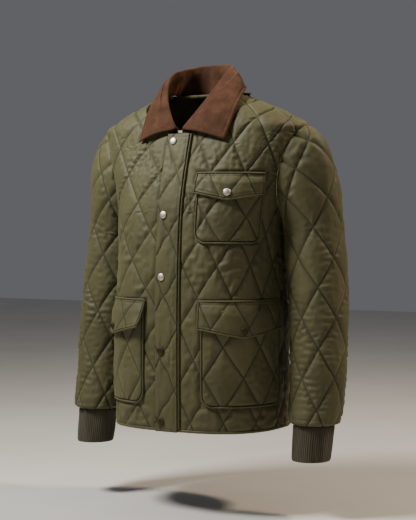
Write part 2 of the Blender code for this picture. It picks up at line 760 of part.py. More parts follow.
def main():
    for old in list(bpy.data.objects):
        bpy.data.objects.remove(old)
    front_panels()
    back_panel()
    sleeves()
    cuffs()
    collar()
    neck_binding()
    hanger_loop()
    placket()
    placket_binding()
    zip_end()
    hem_binding()
    placket_snaps()
    pockets()


main()
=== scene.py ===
"""The looks of a men's quilted jacket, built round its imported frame."""
import math

import bmesh
import bpy
import numpy as np
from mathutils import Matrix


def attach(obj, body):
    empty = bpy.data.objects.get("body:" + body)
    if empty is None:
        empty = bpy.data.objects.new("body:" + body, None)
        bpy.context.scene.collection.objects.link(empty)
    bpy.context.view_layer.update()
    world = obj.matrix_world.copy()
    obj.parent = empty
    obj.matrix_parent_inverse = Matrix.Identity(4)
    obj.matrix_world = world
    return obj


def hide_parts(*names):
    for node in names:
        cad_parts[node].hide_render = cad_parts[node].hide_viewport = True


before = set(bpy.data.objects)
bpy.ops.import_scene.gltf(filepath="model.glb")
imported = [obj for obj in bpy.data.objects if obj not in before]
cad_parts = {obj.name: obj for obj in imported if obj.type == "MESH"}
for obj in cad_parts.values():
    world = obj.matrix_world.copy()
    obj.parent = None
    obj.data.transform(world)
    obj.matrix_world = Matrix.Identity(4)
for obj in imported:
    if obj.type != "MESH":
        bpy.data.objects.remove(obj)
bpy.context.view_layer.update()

# ---------------------------------------------------------------- sizes of the frame
QUILT = 0.006           # shell, wadding and lining, quilted together
CUFF_WALL = 0.003
COLLAR_WALL = 0.0035
SEAT = 0.0009
GAP = 0.0003
HEM = -0.686
UNDERARM = -0.255
SHOULDER_TIP = -0.0755
NECK_SIDE = -0.004
NECK_FRONT = -0.090
NECK_BACK = -0.006
ARMHOLE_FRONT = 0.215
ARMHOLE_BACK = 0.19
PANEL_COLUMNS = 8
SIDE_ROWS = 9
ARM_ROWS = 12
CHEST_ROWS = 7
RING_STEPS = 48
RING_LEVELS = 160
PLACKET = (-0.0235, 0.0262)
PLACKET_TOP = -0.0935
PLACKET_WALL = 0.0045
BINDING = 0.0042
HEM_BINDING = 0.005
SNAP_RADIUS = 0.0075
SNAP_HEIGHT = 0.0032
SNAP_ACROSS = -0.008
SNAP_LEVELS = (-0.109, -0.257, -0.381, -0.529, -0.672)
POCKET_WALL = 0.0035
FLAP_WALL = 0.0035
QUARTER = math.pi / 2

# ---------------------------------------------------------------- sizes of the looks
DIAMOND = (0.080, 0.125)    # a diamond's usual width and height between its corners
LOBE = 0.0034               # how far a lobe stands over its stitch lines
STITCH_DEPTH = 0.0018       # how far the stitch lines lie under the form
WANDER = 0.0016             # how far a stitch line strays
STITCHES = 25               # in one side of a diamond
TOPSTITCH = 0.0045          # from an edge to the stitching along it
FLAP_STAND = 0.0024         # how far a flap's lower edge stands off its pocket
THREAD = 0.0005             # from one thread of the weave to the next
WALE = 0.0017               # from one wale of the corduroy to the next
LINE_GAP = 1 / math.hypot(1 / DIAMOND[0], 1 / DIAMOND[1])   # between parallel stitch lines
FINE = 0.00195               # of the grid that is shown
LINING_STEP = 4             # the inner cloth has every fourth point of the outer's grid
COLLAR_ROWS = 60            # rows of the collar's fine grid, seam to edge
SETTLE_STEPS = 260


def table(text):
    """Read a short table with a line of column names over its rows."""
    lines = [line.split() for line in text.strip().splitlines()]
    rows = np.array([[float(cell) for cell in line] for line in lines[1:]])
    return {name: rows[:, i] for i, name in enumerate(lines[0])}


# Horizontal rings of the body.  half: half width.  front and back: depths from
# the ring's widest line, which stands at y = mid.  A power of 2 is an ellipse,
# and a higher one is squarer.
BODY = table("""
level    half   front  back   mid    square  round
-0.690   0.180  0.167  0.120  0.010  2.80    2.20
-0.577   0.180  0.168  0.117  0.010  2.80    2.20
-0.433   0.178  0.167  0.111  0.010  2.80    2.20
-0.309   0.175  0.162  0.112  0.010  2.80    2.20
-0.250   0.182  0.157  0.115  0.010  2.60    2.20
-0.206   0.195  0.149  0.117  0.010  2.45    2.20
-0.144   0.217  0.129  0.113  0.007  2.30    2.20
-0.093   0.231  0.110  0.101  0.004  2.20    2.20
-0.0755  0.2328 0.103  0.095  0.003  2.20    2.20
-0.061   0.210  0.096  0.089  0.002  2.20    2.20
-0.043   0.175  0.087  0.080  0.001  2.20    2.20
-0.028   0.140  0.078  0.072  0.000  2.20    2.20
-0.014   0.1055 0.069  0.064  0.000  2.20    2.20
-0.004   0.080  0.062  0.058  0.000  2.20    2.20
""")

# Rings of a sleeve below the cap: centre and half widths across and fore and aft.
SLEEVE = table("""
level    x       y       across  along
-0.300   0.2395  0.0270  0.0605  0.0630
-0.360   0.2460  0.0240  0.0610  0.0635
-0.420   0.2515  0.0200  0.0605  0.0620
-0.480   0.2555  0.0145  0.0588  0.0600
-0.540   0.2585  0.0075  0.0570  0.0580
-0.600   0.2600  0.0000  0.0553  0.0565
-0.640   0.2605  -0.008  0.0540  0.0550
-0.660   0.2605  -0.013  0.0525  0.0535
-0.671   0.2605  -0.016  0.0490  0.0500
-0.675   0.2605  -0.017  0.0425  0.0435
""")

# Directions in which the sleeve cap leaves the armhole, round the armhole from
# the underarm by the front.
CAP = table("""
turn   dx     dy     dz     reach
0      0.20   0.05   -1.00  0.6
90     0.50   -0.15  -0.85  0.9
180    0.86   0.06   -0.48  1.0
270    0.50   0.25   -0.85  0.9
360    0.20   0.05   -1.00  0.6
""")

# Rings of a cuff.
CUFF = table("""
level    x       y       across  along
-0.6753  0.2605  -0.0175 0.0415  0.0425
-0.6830  0.2605  -0.0185 0.0410  0.0420
-0.7100  0.2602  -0.0235 0.0400  0.0410
-0.7450  0.2600  -0.0300 0.0385  0.0395
""")

# The collar's lines, round the neck from centre back: the fold, and the outer
# edge of the leaf, whose last row is the collar's point.  bow: how far the leaf
# stands off the straight line between them.
NECK_MIDDLE = -0.03     # y of the middle of the neck opening
NECK_STEP = 0.0062      # the collar's seam stands this far inside the neckline
COLLAR_SIDE = 75        # the turn at which the collar crosses the shoulder seam
COLLAR = table("""
turn   fx     fy     fz      lx      ly      rx      ry      ez      bow
0      0.000  0.047  0.0595  0.0000  0.0900  0.0000  0.0900  0.0020  0.004
25     0.028  0.042  0.0590  0.0400  0.0780  0.0400  0.0780  0.0035  0.004
50     0.049  0.023  0.0535  0.0680  0.0430  0.0680  0.0430  0.0055  0.005
75     0.0605 -0.003 0.0465  0.0900  0.0050  0.0860  0.0050  0.0050  0.006
100    0.065  -0.027 0.0350  0.1010 -0.0120  0.0930 -0.0160  0.0000  0.007
125    0.059  -0.055 0.0080  0.1110 -0.0440  0.0860 -0.0600 -0.0150  0.006
150    0.042  -0.082 -0.030  0.1150 -0.0850  0.0870 -0.0900 -0.0530  0.006
180    0.009  -0.109 -0.082  0.1055 -0.1065  0.0965 -0.1075 -0.1070  0.007
""")


def smooth(columns, name, at, key="level"):
    """The named column at the places asked for, on smooth curves through its rows."""
    order = np.argsort(columns[key])
    xs = columns[key][order]
    ys = columns[name][order]
    at = np.asarray(at, float)
    run = np.diff(xs)
    rise = np.diff(ys) / run
    slope = np.empty_like(ys)
    slope[1:-1] = (rise[:-1] * run[1:] + rise[1:] * run[:-1]) / (run[:-1] + run[1:])
    slope[0] = rise[0]
    slope[-1] = rise[-1]
    i = np.clip(np.searchsorted(xs, at) - 1, 0, len(run) - 1)
    t = np.clip((at - xs[i]) / run[i], 0.0, 1.0)
    h = run[i]
    from_left = (1 + 2 * t) * (1 - t) ** 2 * ys[i] + t * (1 - t) ** 2 * h * slope[i]
    from_right = t * t * (3 - 2 * t) * ys[i + 1] + t * t * (t - 1) * h * slope[i + 1]
    return from_left + from_right


def unit(vectors):
    return vectors / np.linalg.norm(vectors, axis=-1, keepdims=True)


# ---------------------------------------------------------------- the body's form
def body(turn, level):
    """A point on the body: turn is 0 at centre front and pi at centre back."""
    turn, level = np.broadcast_arrays(np.asarray(turn, float), np.asarray(level, float))
    side = np.sin(turn)
    ahead = np.cos(turn)
    power = np.where(ahead > 0, smooth(BODY, "square", level), smooth(BODY, "round", level))
    depth = np.where(ahead > 0, smooth(BODY, "front", level), smooth(BODY, "back", level))
    x = smooth(BODY, "half", level) * np.sign(side) * np.abs(side) ** (2 / power)
    y = smooth(BODY, "mid", level) - depth * np.sign(ahead) * np.abs(ahead) ** (2 / power)
    return np.stack([x, y, level], -1)


def body_normal(turn, level):
    """The outward direction there."""
    turn, level = np.broadcast_arrays(np.asarray(turn, float), np.asarray(level, float))
    step_turn = 0.02
    step_level = 0.002
    low = np.maximum(level - step_level, HEM)
    high = np.minimum(level + step_level, NECK_SIDE)
    along = body(turn + step_turn, level) - body(turn - step_turn, level)
    up = body(turn, high) - body(turn, low)
    return unit(np.cross(along, up))


def measure_rings(behind):
    """Lengths from the centre line along the quarter rings at even levels."""
    levels = np.linspace(HEM, NECK_SIDE, RING_LEVELS)
    turns = np.linspace(0, QUARTER, RING_STEPS + 1)
    points = body(math.pi - turns if behind else turns, levels[:, None])
    chords = np.linalg.norm(np.diff(points, axis=1), axis=2)
    start = np.zeros((RING_LEVELS, 1))
    return levels, np.concatenate([start, np.cumsum(chords, axis=1)], axis=1)


RINGS = {behind: measure_rings(behind) for behind in (False, True)}


def lengths_at(level, behind):
    """The measured lengths round the quarter ring at a level."""
    levels, lengths = RINGS[behind]
    at = (np.asarray(level, float) - levels[0]) / (levels[1] - levels[0])
    below = np.clip(np.floor(at).astype(int), 0, RING_LEVELS - 2)
    part = np.clip(at - below, 0, 1)[..., None]
    return lengths[below] * (1 - part) + lengths[below + 1] * part


def turn_at_length(length, level, behind=False):
    """Turn at a length round the front from centre front, negative on the right."""
    length, level = np.broadcast_arrays(np.asarray(length, float), np.asarray(level, float))
    marks = lengths_at(level, behind)
    away = np.abs(length)[..., None]
    step = np.clip((marks <= away).sum(-1) - 1, 0, RING_STEPS - 1)[..., None]
    low = np.take_along_axis(marks, step, -1)
    high = np.take_along_axis(marks, step + 1, -1)
    turn = (step + (away - low) / (high - low))[..., 0] * QUARTER / RING_STEPS
    return np.where(length < 0, -1, 1) * (math.pi - turn if behind else turn)


def turn_at_share(share, level, behind=False):
    """Turn at a share of the quarter ring, from the centre line to the side."""
    total = lengths_at(level, behind)[..., -1]
    turn = turn_at_length(np.maximum(share, 1e-9) * total, level, behind)
    return turn


def on_front(length, level, out=0.0):
    """Points of the front at lengths from centre front, lifted off the cloth."""
    turn = turn_at_length(length, level)
    return body(turn, level) + body_normal(turn, level) * np.asarray(out, float)[..., None]


# ---------------------------------------------------------------- panel outlines
def armhole(behind):
    """(share, level) down half an armhole, from underarm to shoulder tip."""
    t = np.linspace(0, math.pi, ARM_ROWS + 1)
    level = UNDERARM + (SHOULDER_TIP - UNDERARM) * (1 - np.cos(t)) / 2
    reach = ARMHOLE_BACK if behind else ARMHOLE_FRONT
    return 1 - reach * np.sin(t), level


def neckline(behind, along):
    """(share, level) on half the neckline, from the centre line, 0, to the shoulder, 1."""
    t = np.asarray(along) * QUARTER
    centre = NECK_BACK if behind else NECK_FRONT
    level = NECK_SIDE + (centre - NECK_SIDE) * np.cos(t)
    whole = lengths_at(NECK_SIDE, behind)[-1]
    return whole * np.sin(t) / lengths_at(level, behind)[..., -1], level


# ---------------------------------------------------------------- fine grids
def panel_sides(behind, up):
    """(share, level) of the centre line and of the side, at shares of the height."""
    rows = SIDE_ROWS + ARM_ROWS
    low, mid = SIDE_ROWS / rows, (SIDE_ROWS + CHEST_ROWS) / rows
    top = NECK_BACK if behind else NECK_FRONT
    neck_share, neck_level = neckline(behind, np.clip((up - mid) / (1 - mid), 0, 1))
    straight = np.interp(up, [0, low, mid], [HEM, UNDERARM, top])
    centre = (np.where(up < mid, 0.0, neck_share), np.where(up < mid, straight, neck_level))
    t = np.clip((up - low) / (1 - low), 0, 1) * math.pi
    arm_level = UNDERARM + (SHOULDER_TIP - UNDERARM) * (1 - np.cos(t)) / 2
    reach = ARMHOLE_BACK if behind else ARMHOLE_FRONT
    rise = np.interp(up, [0, low], [HEM, UNDERARM])
    side = (np.where(up < low, 1.0, 1 - reach * np.sin(t)), np.where(up < low, rise, arm_level))
    return centre, side


def fine_panel(behind, columns, rows):
    """(turn, level) of half the front or back on a fine grid, hem first."""
    up = np.linspace(0, 1, rows)[:, None]
    across = np.linspace(0, 1, columns)[None, :]
    centre, side = panel_sides(behind, up)
    hem = (across, np.full_like(across, HEM))
    shoulder = (np.ones_like(across), NECK_SIDE + (SHOULDER_TIP - NECK_SIDE) * across)
    blended = []
    for left, right, low, high in zip(centre, side, hem, shoulder):
        corners = ((1 - up) * ((1 - across) * left[0] + across * right[0])
                   + up * ((1 - across) * left[-1] + across * right[-1]))
        blended.append((1 - across) * left + across * right
                       + (1 - up) * low + up * high - corners)
    return turn_at_share(blended[0], blended[1], behind), blended[1]


def cloth_lengths(turn, level, behind):
    """How far round and how far up the cloth points lie, measured on the form."""
    marks = lengths_at(level, behind)
    steps = np.clip((math.pi - np.abs(turn) if behind else np.abs(turn)) / QUARTER, 0, 1)
    at = steps * RING_STEPS
    low = np.clip(np.floor(at).astype(int), 0, RING_STEPS - 1)[..., None]
    near = np.take_along_axis(marks, low, -1)[..., 0]
    far = np.take_along_axis(marks, low + 1, -1)[..., 0]
    around = (near + (far - near) * (at - low[..., 0])) * np.sign(turn + 1e-12)
    levels = np.linspace(HEM, NECK_SIDE, RING_LEVELS)
    turns = np.linspace(0, QUARTER, 25)
    form = body(math.pi - turns if behind else turns, levels[:, None])
    climb = np.concatenate([np.zeros((1, 25)),
                            np.cumsum(np.linalg.norm(np.diff(form, axis=0), axis=2), axis=0)])
    row = np.clip((level - HEM) / (levels[1] - levels[0]), 0, RING_LEVELS - 1.001)
    col = np.clip(steps * 24, 0, 23.999)
    i, j = row.astype(int), col.astype(int)
    a, b = row - i, col - j
    up = ((1 - a) * ((1 - b) * climb[i, j] + b * climb[i, j + 1])
          + a * ((1 - b) * climb[i + 1, j] + b * climb[i + 1, j + 1]))
    return around, up


# ---------------------------------------------------------------- quilting
def hashed(i, j, seed):
    """A repeatable number from 0 to 1 for each whole-number pair."""
    mixed = np.sin(i * 127.1 + j * 311.7 + seed * 74.7) * 43758.5453
    return mixed - np.floor(mixed)


def noise(x, y, seed=0):
    """Smooth noise from -1 to 1 with features one unit wide."""
    i, j = np.floor(x), np.floor(y)
    u, v = x - i, y - j
    u, v = u * u * (3 - 2 * u), v * v * (3 - 2 * v)
    low = hashed(i, j, seed) * (1 - u) + hashed(i + 1, j, seed) * u
    high = hashed(i, j + 1, seed) * (1 - u) + hashed(i + 1, j + 1, seed) * u
    return 2 * (low * (1 - v) + high * v) - 1


def ease(x):
    """0 to 1 with soft ends."""
    x = np.clip(x, 0, 1)
    return x * x * (3 - 2 * x)


# How the quilting lies on each piece of cloth: a diamond's width and height, its lean,
# and one crossing of the stitch lines, from the front edge and the hem.
QUILTING = {
    "front_left": {"wide": 0.071, "tall": 0.125, "lean": -0.06, "across": -0.0197, "up": 0.0164},
    "front_right": {"wide": 0.088, "tall": 0.117, "lean": -0.08, "across": -0.0308, "up": -0.011},
    "back": {"wide": 0.080, "tall": 0.125, "lean": 0.0, "across": 0.0, "up": 0.200},
    "sleeve_left": {"wide": 0.080, "tall": 0.121, "lean": 0.0, "across": -0.031, "up": 0.0193},
    "sleeve_right": {"wide": 0.080, "tall": 0.121, "lean": 0.0, "across": 0.031, "up": 0.0193},
}


def quilt_phases(around, up, pattern, seed):
    """Two numbers that are whole on the two families of stitch lines."""
    strayed = around + WANDER * noise(around / 0.05, up / 0.05, seed + 3)
    climbed = up + WANDER * noise(around / 0.05, up / 0.05, seed + 4)
    across = (strayed + pattern["lean"] * up - pattern["across"]) / pattern["wide"]
    rise = (climbed - pattern["up"]) / pattern["tall"]
    return np.stack([across + rise, across - rise], -1)


def from_lines(phases):
    """Metres from the nearest stitch line of each family."""
    return np.abs(phases - np.round(phases)) * LINE_GAP


def grid_lengths(form):
    """Metres along the grid from the first row, and from the first column."""
    down = np.linalg.norm(np.diff(form, axis=0), axis=2)
    across = np.linalg.norm(np.diff(form, axis=1), axis=2)
    return (np.concatenate([np.zeros((1, form.shape[1])), np.cumsum(down, axis=0)]),
            np.concatenate([np.zeros((form.shape[0], 1)), np.cumsum(across, axis=1)], axis=1))


def from_edges(form, sides):
    """Metres from the nearest of the named sewn edges: first, last, left, right."""
    down, across = grid_lengths(form)
    away = {"first": down, "last": down[-1] - down,
            "left": across, "right": across[:, -1:] - across}
    return np.minimum.reduce([away[side] for side in sides] + [np.full(down.shape, 1.0)])


def padded_grid(field, closed):
    """The grid with its first two columns again after the last, if it goes round."""
    return np.concatenate([field, field[:, :2]], axis=1) if closed else field


def rounder(field, closed):
    """Laplacian of a field on a grid."""
    first, last = (field[:, -1:], field[:, :1]) if closed else (field[:, :1], field[:, -1:])
    wide = np.concatenate([first, field, last], axis=1)
    wide = np.concatenate([wide[:1], wide, wide[-1:]], axis=0)
    return wide[:-2, 1:-1] + wide[2:, 1:-1] + wide[1:-1, :-2] + wide[1:-1, 2:] - 4 * field


def settled(anchor, normal, target, keep, slack, closed=False, stiff=0.007, hold=0.006):
    """Cloth longer than its form by the slack, held at its stitches, at rest on its wadding.

    Springs pull each point to its real distance from its neighbours, bending smooths the
    folds, and the wadding draws the cloth to its target height. Puckers come of themselves.
    """
    rows, columns = target.shape
    wide = padded_grid(anchor, closed)
    spare = [padded_grid(field, closed) for field in slack]
    springs = []
    for down, side, stretch in ((0, 1, 1.0), (1, 0, 1.0), (1, 1, 0.5), (1, -1, 0.5)):
        count = columns if closed else columns - abs(side)
        first = max(0, -side)
        near = (slice(0, rows - down), slice(first, first + count))
        far = (slice(down, rows), slice(first + side, first + side + count))
        share = (spare[0][near] + spare[0][far]) / 2 if down == 0 else \
            (spare[1][near] + spare[1][far]) / 2 if side == 0 else \
            (spare[0][near] + spare[1][near] + spare[0][far] + spare[1][far]) / 4
        length = np.linalg.norm(wide[far] - wide[near], axis=-1) * (1 + share)
        springs.append((near, far, length, stretch))
    rough = noise(anchor[..., 0] / 0.007 + anchor[..., 1] / 0.009, anchor[..., 2] / 0.007, 5)
    wanted = anchor + normal * target[..., None]
    cloth = wanted + normal * (0.0008 * rough * keep)[..., None]
    for _ in range(SETTLE_STEPS):
        wide = padded_grid(cloth, closed)
        move = np.zeros_like(wide)
        for near, far, length, stretch in springs:
            gap = wide[far] - wide[near]
            now = np.sqrt((gap * gap).sum(-1)) + 1e-12
            gap *= (0.5 * stretch * (now - length) / now)[..., None]
            move[near] += gap
            move[far] -= gap
        if closed:
            move[:, :2] += move[:, columns:]
            move = move[:, :columns]
        cloth = cloth + 0.42 * move
        off = cloth - wanted
        cloth = cloth - normal * (hold * (off * normal).sum(-1))[..., None]
        cloth = cloth - stiff * rounder(rounder(off, closed), closed)
        cloth = anchor + (cloth - anchor) * keep[..., None]
    return cloth


def between(count, coarse, closed=False):
    """Catmull-Rom weights that draw a line of points more finely."""
    at = np.arange(count) * (coarse / count if closed else (coarse - 1) / (count - 1))
    low = np.minimum(at.astype(int), coarse - 1 if closed else coarse - 2)
    t = at - low
    weights = [-t / 2 + t * t - t ** 3 / 2, 1 - 2.5 * t * t + 1.5 * t ** 3,
               t / 2 + 2 * t * t - 1.5 * t ** 3, (t ** 3 - t * t) / 2]
    made = np.zeros((count, coarse))
    for step, weight in zip((-1, 0, 1, 2), weights):
        place = (low + step) % coarse if closed else np.clip(low + step, 0, coarse - 1)
        np.add.at(made, (np.arange(count), place), weight)
    return made


def finer(field, rows, columns, closed=False):
    """A grid's field on a finer grid."""
    flat = field if field.ndim == 3 else field[..., None]
    down = between(rows, flat.shape[0])
    across = between(columns, flat.shape[1], closed)
    made = np.einsum("rk,klc->rlc", down, flat, optimize=True)
    made = np.einsum("cl,rlk->rck", across, made, optimize=True)
    return made if field.ndim == 3 else made[..., 0]


def quilted(name, form, normal, around, up, pattern, edges, closed=False, flat=None, low=None,
            slack=(0.008, 0.012), lobe=LOBE, sunk=STITCH_DEPTH, thick=QUILT, rise=0.0, seed=0,
            spacing=FINE, stiff=0.009, pucker=0.12, topstitch=0.0):
    """A quilted piece over its form, as one mesh with its stitch lines and its lining.

    flat is 1 where something is sewn on over it, and low where it is pressed down.
    """
    flat = np.zeros(form.shape[:2]) if flat is None else flat
    low = np.zeros(form.shape[:2]) if low is None else low
    phases = quilt_phases(around, up, pattern, seed)
    lines = from_lines(phases)
    near = lines.min(-1)
    half = LINE_GAP / 2
    pillow = (1 - (1 - np.clip(lines / half, 0, 1)) ** 3.4).prod(-1) ** 0.85
    away = from_edges(form, edges)
    seam = 1 - np.exp(-away / 0.007)
    keep = ease(near / 0.0022) * ease(away / 0.0022) * (1 - flat)
    streaks = 0.6 * noise(around / 0.011, up / 0.034, seed + 7) \
        + 0.4 * noise(around / 0.007, up / 0.009, seed + 8)
    target = lobe * pillow * seam * (1 + 0.15 * noise(around / 0.05, up / 0.05, seed + 9)
                                     + 0.28 * streaks)
    target = target * (1 - flat) * (1 - 0.65 * low)
    held = rise - sunk * (1 - flat) * (1 - 0.6 * np.exp(-away / 0.007)) \
        - 0.0016 * flat * (rise == 0)
    anchor = form + normal * held[..., None]
    patch = np.clip(noise(around / 0.05, up / 0.05, seed + 1), 0, 1)
    loose = 0.003 + 0.03 * patch ** 2 + pucker * np.exp(-np.minimum(near, away) / 0.010) * (
        1 + 0.6 * noise(around / 0.03, up / 0.03, seed + 2))
    uneven = np.clip(1 + 1.6 * noise(around / 0.05, up / 0.035, seed + 6), 0, 3)
    spare = [(loose + more * uneven) * (1 - 0.8 * np.maximum(flat, low)) for more in slack]
    cloth = settled(anchor, normal, target, keep, spare, closed, stiff)
    rows = int(grid_lengths(form)[0][-1].max() / spacing) + 1
    columns = int(grid_lengths(form)[1][:, -1].max() / spacing) + 1
    fine = finer(cloth, rows, columns, closed)
    base = finer(form, rows, columns, closed)
    out = finer(normal, rows, columns, closed)
    out = unit(out)
    fine_phases = finer(phases, rows, columns, closed)
    fine_flat = finer(flat, rows, columns, closed)
    groove = np.exp(-(from_lines(fine_phases).min(-1) / 0.0010) ** 2) * (1 - fine_flat)
    height = ((fine - base) * out).sum(-1)
    bottom = rise - sunk - 0.0010
    fine = fine + out * (groove * np.minimum(bottom - height, 0))[..., None]
    if topstitch:
        sewn = from_edges(fine, ("first", "last", "left", "right")) - topstitch
        fine = fine - out * (0.0009 * np.exp(-(sewn / 0.0011) ** 2))[..., None]
    height = ((fine - base) * out).sum(-1)
    inner = base - out * (thick + (0.4 * (height - rise) if thick else 0 * height))[..., None]
    cloth_uv = np.stack([finer(around, rows, columns, closed),
                         finer(up, rows, columns, closed)], -1)
    return shell(name, fine, inner, SHELL, closed, cloth_uv, fine_phases)


# ---------------------------------------------------------------- meshes
def grid_faces(rows, columns, first, closed=False, flip=False):
    """Quads over a grid whose points start at an index."""
    r = np.arange(rows - 1)[:, None]
    c = np.arange(columns if closed else columns - 1)[None, :]
    d = (c + 1) % columns
    quads = np.stack([r * columns + c, r * columns + d, (r + 1) * columns + d,
                      (r + 1) * columns + c], -1).reshape(-1, 4) + first
    return quads[:, ::-1] if flip else quads


def mesh_object(name, points, faces, finish, layers=None):
    """An object from points and faces, with UV layers given at the points."""
    mesh = bpy.data.meshes.new(name)
    mesh.vertices.add(len(points))
    mesh.vertices.foreach_set("co", np.asarray(points, float).ravel())
    sizes = np.array([len(face) for face in faces])
    mesh.loops.add(int(sizes.sum()))
    mesh.loops.foreach_set("vertex_index", np.concatenate([np.asarray(f) for f in faces]))
    mesh.polygons.add(len(faces))
    mesh.polygons.foreach_set("loop_start", np.concatenate([[0], np.cumsum(sizes)[:-1]]))
    mesh.update(calc_edges=True)
    mesh.validate()
    mesh.polygons.foreach_set("use_smooth", np.ones(len(mesh.polygons), bool))
    corner = np.zeros(len(mesh.loops), int)
    mesh.loops.foreach_get("vertex_index", corner)
    for label, places in (layers or {}).items():
        layer = mesh.uv_layers.new(name=label)
        layer.data.foreach_set("uv", places[corner].ravel())
    mesh.materials.append(finish)
    made = bpy.data.objects.new(name, mesh)
    bpy.context.collection.objects.link(made)
    return made


def outward(points, closed=False, hint=None):
    """Outward directions of a grid of points."""
    up = np.gradient(points, axis=0)
    if closed:
        along = np.roll(points, -1, axis=1) - np.roll(points, 1, axis=1)
    else:
        along = np.gradient(points, axis=1)
    normal = np.cross(along, up)
    normal = normal / np.maximum(np.linalg.norm(normal, axis=-1, keepdims=True), 1e-12)
    if hint is not None and (normal * hint).sum() < 0:
        normal = -normal
    return normal


def rim_faces(fine, coarse, marks, closed):
    """Faces that join a fine edge to a coarse one whose points lie at the marks."""
    faces = []
    for k in range(len(marks) if closed else len(marks) - 1):
        last = k + 1 == len(marks)
        end = len(fine) if last else marks[k + 1]
        outer = [int(fine[i % len(fine)]) for i in range(marks[k], end + 1)]
        faces.append(outer + [int(coarse[(k + 1) % len(coarse)]), int(coarse[k])])
    return faces


def shell(name, outer, inner, finish, closed=False, cloth_uv=None, quilt_uv=None):
    """Outer cloth and a coarser inner cloth, joined round the rims."""
    rows, columns = outer.shape[:2]
    pick_r = np.unique(np.append(np.arange(0, rows, LINING_STEP), rows - 1))
    pick_c = np.arange(0, columns, LINING_STEP)
    if not closed:
        pick_c = np.unique(np.append(pick_c, columns - 1))
    picks = np.ix_(pick_r, pick_c)
    inner = inner[picks]
    count = rows * columns
    ids = np.arange(count).reshape(rows, columns)
    inner_ids = np.arange(inner.shape[0] * inner.shape[1]).reshape(inner.shape[:2]) + count
    faces = list(grid_faces(rows, columns, 0, closed))
    faces += list(grid_faces(*inner.shape[:2], count, closed, flip=True))
    faces += rim_faces(ids[0], inner_ids[0], pick_c, closed)
    faces += rim_faces(ids[-1], inner_ids[-1], pick_c, closed)
    if not closed:
        faces += rim_faces(ids[:, 0], inner_ids[:, 0], pick_r, False)
        faces += rim_faces(ids[:, -1], inner_ids[:, -1], pick_r, False)
    points = np.concatenate([outer.reshape(-1, 3), inner.reshape(-1, 3)])
    layers = {}
    for label, field in (("cloth", cloth_uv), ("quilt", quilt_uv)):
        if field is not None:
            layers[label] = np.concatenate([field.reshape(-1, 2), field[picks].reshape(-1, 2)])
    made = mesh_object(name, points, faces, finish, layers)
    fix_faces(made)
    return made


def fix_faces(made):
    """Faces all turned out."""
    shape = bmesh.new()
    shape.from_mesh(made.data)
    bmesh.ops.recalc_face_normals(shape, faces=shape.faces)
    if shape.calc_volume(signed=True) < 0:
        bmesh.ops.reverse_faces(shape, faces=shape.faces)
    shape.to_mesh(made.data)
    shape.free()
    made.data.update()


def grid_area(points, closed=False):
    """Area of a grid of points."""
    if closed:
        points = np.concatenate([points, points[:, :1]], axis=1)
    a = points[1:, 1:] - points[:-1, :-1]
    b = points[1:, :-1] - points[:-1, 1:]
    return float(0.5 * np.linalg.norm(np.cross(a, b), axis=-1).sum())


def round_profile(wide, tall, steps=8, base=0.0):
    """A half-round cross-section standing on its base."""
    t = np.linspace(0, math.pi, steps)
    return [(wide / 2 * math.cos(a), base + tall * math.sin(a)) for a in t]


# ---------------------------------------------------------------- finishes
def srgb(red, green, blue):
    channels = [value / 255 for value in (red, green, blue)]
    return tuple(c / 12.92 if c < 0.04045 else ((c + 0.055) / 1.055) ** 2.4 for c in channels)


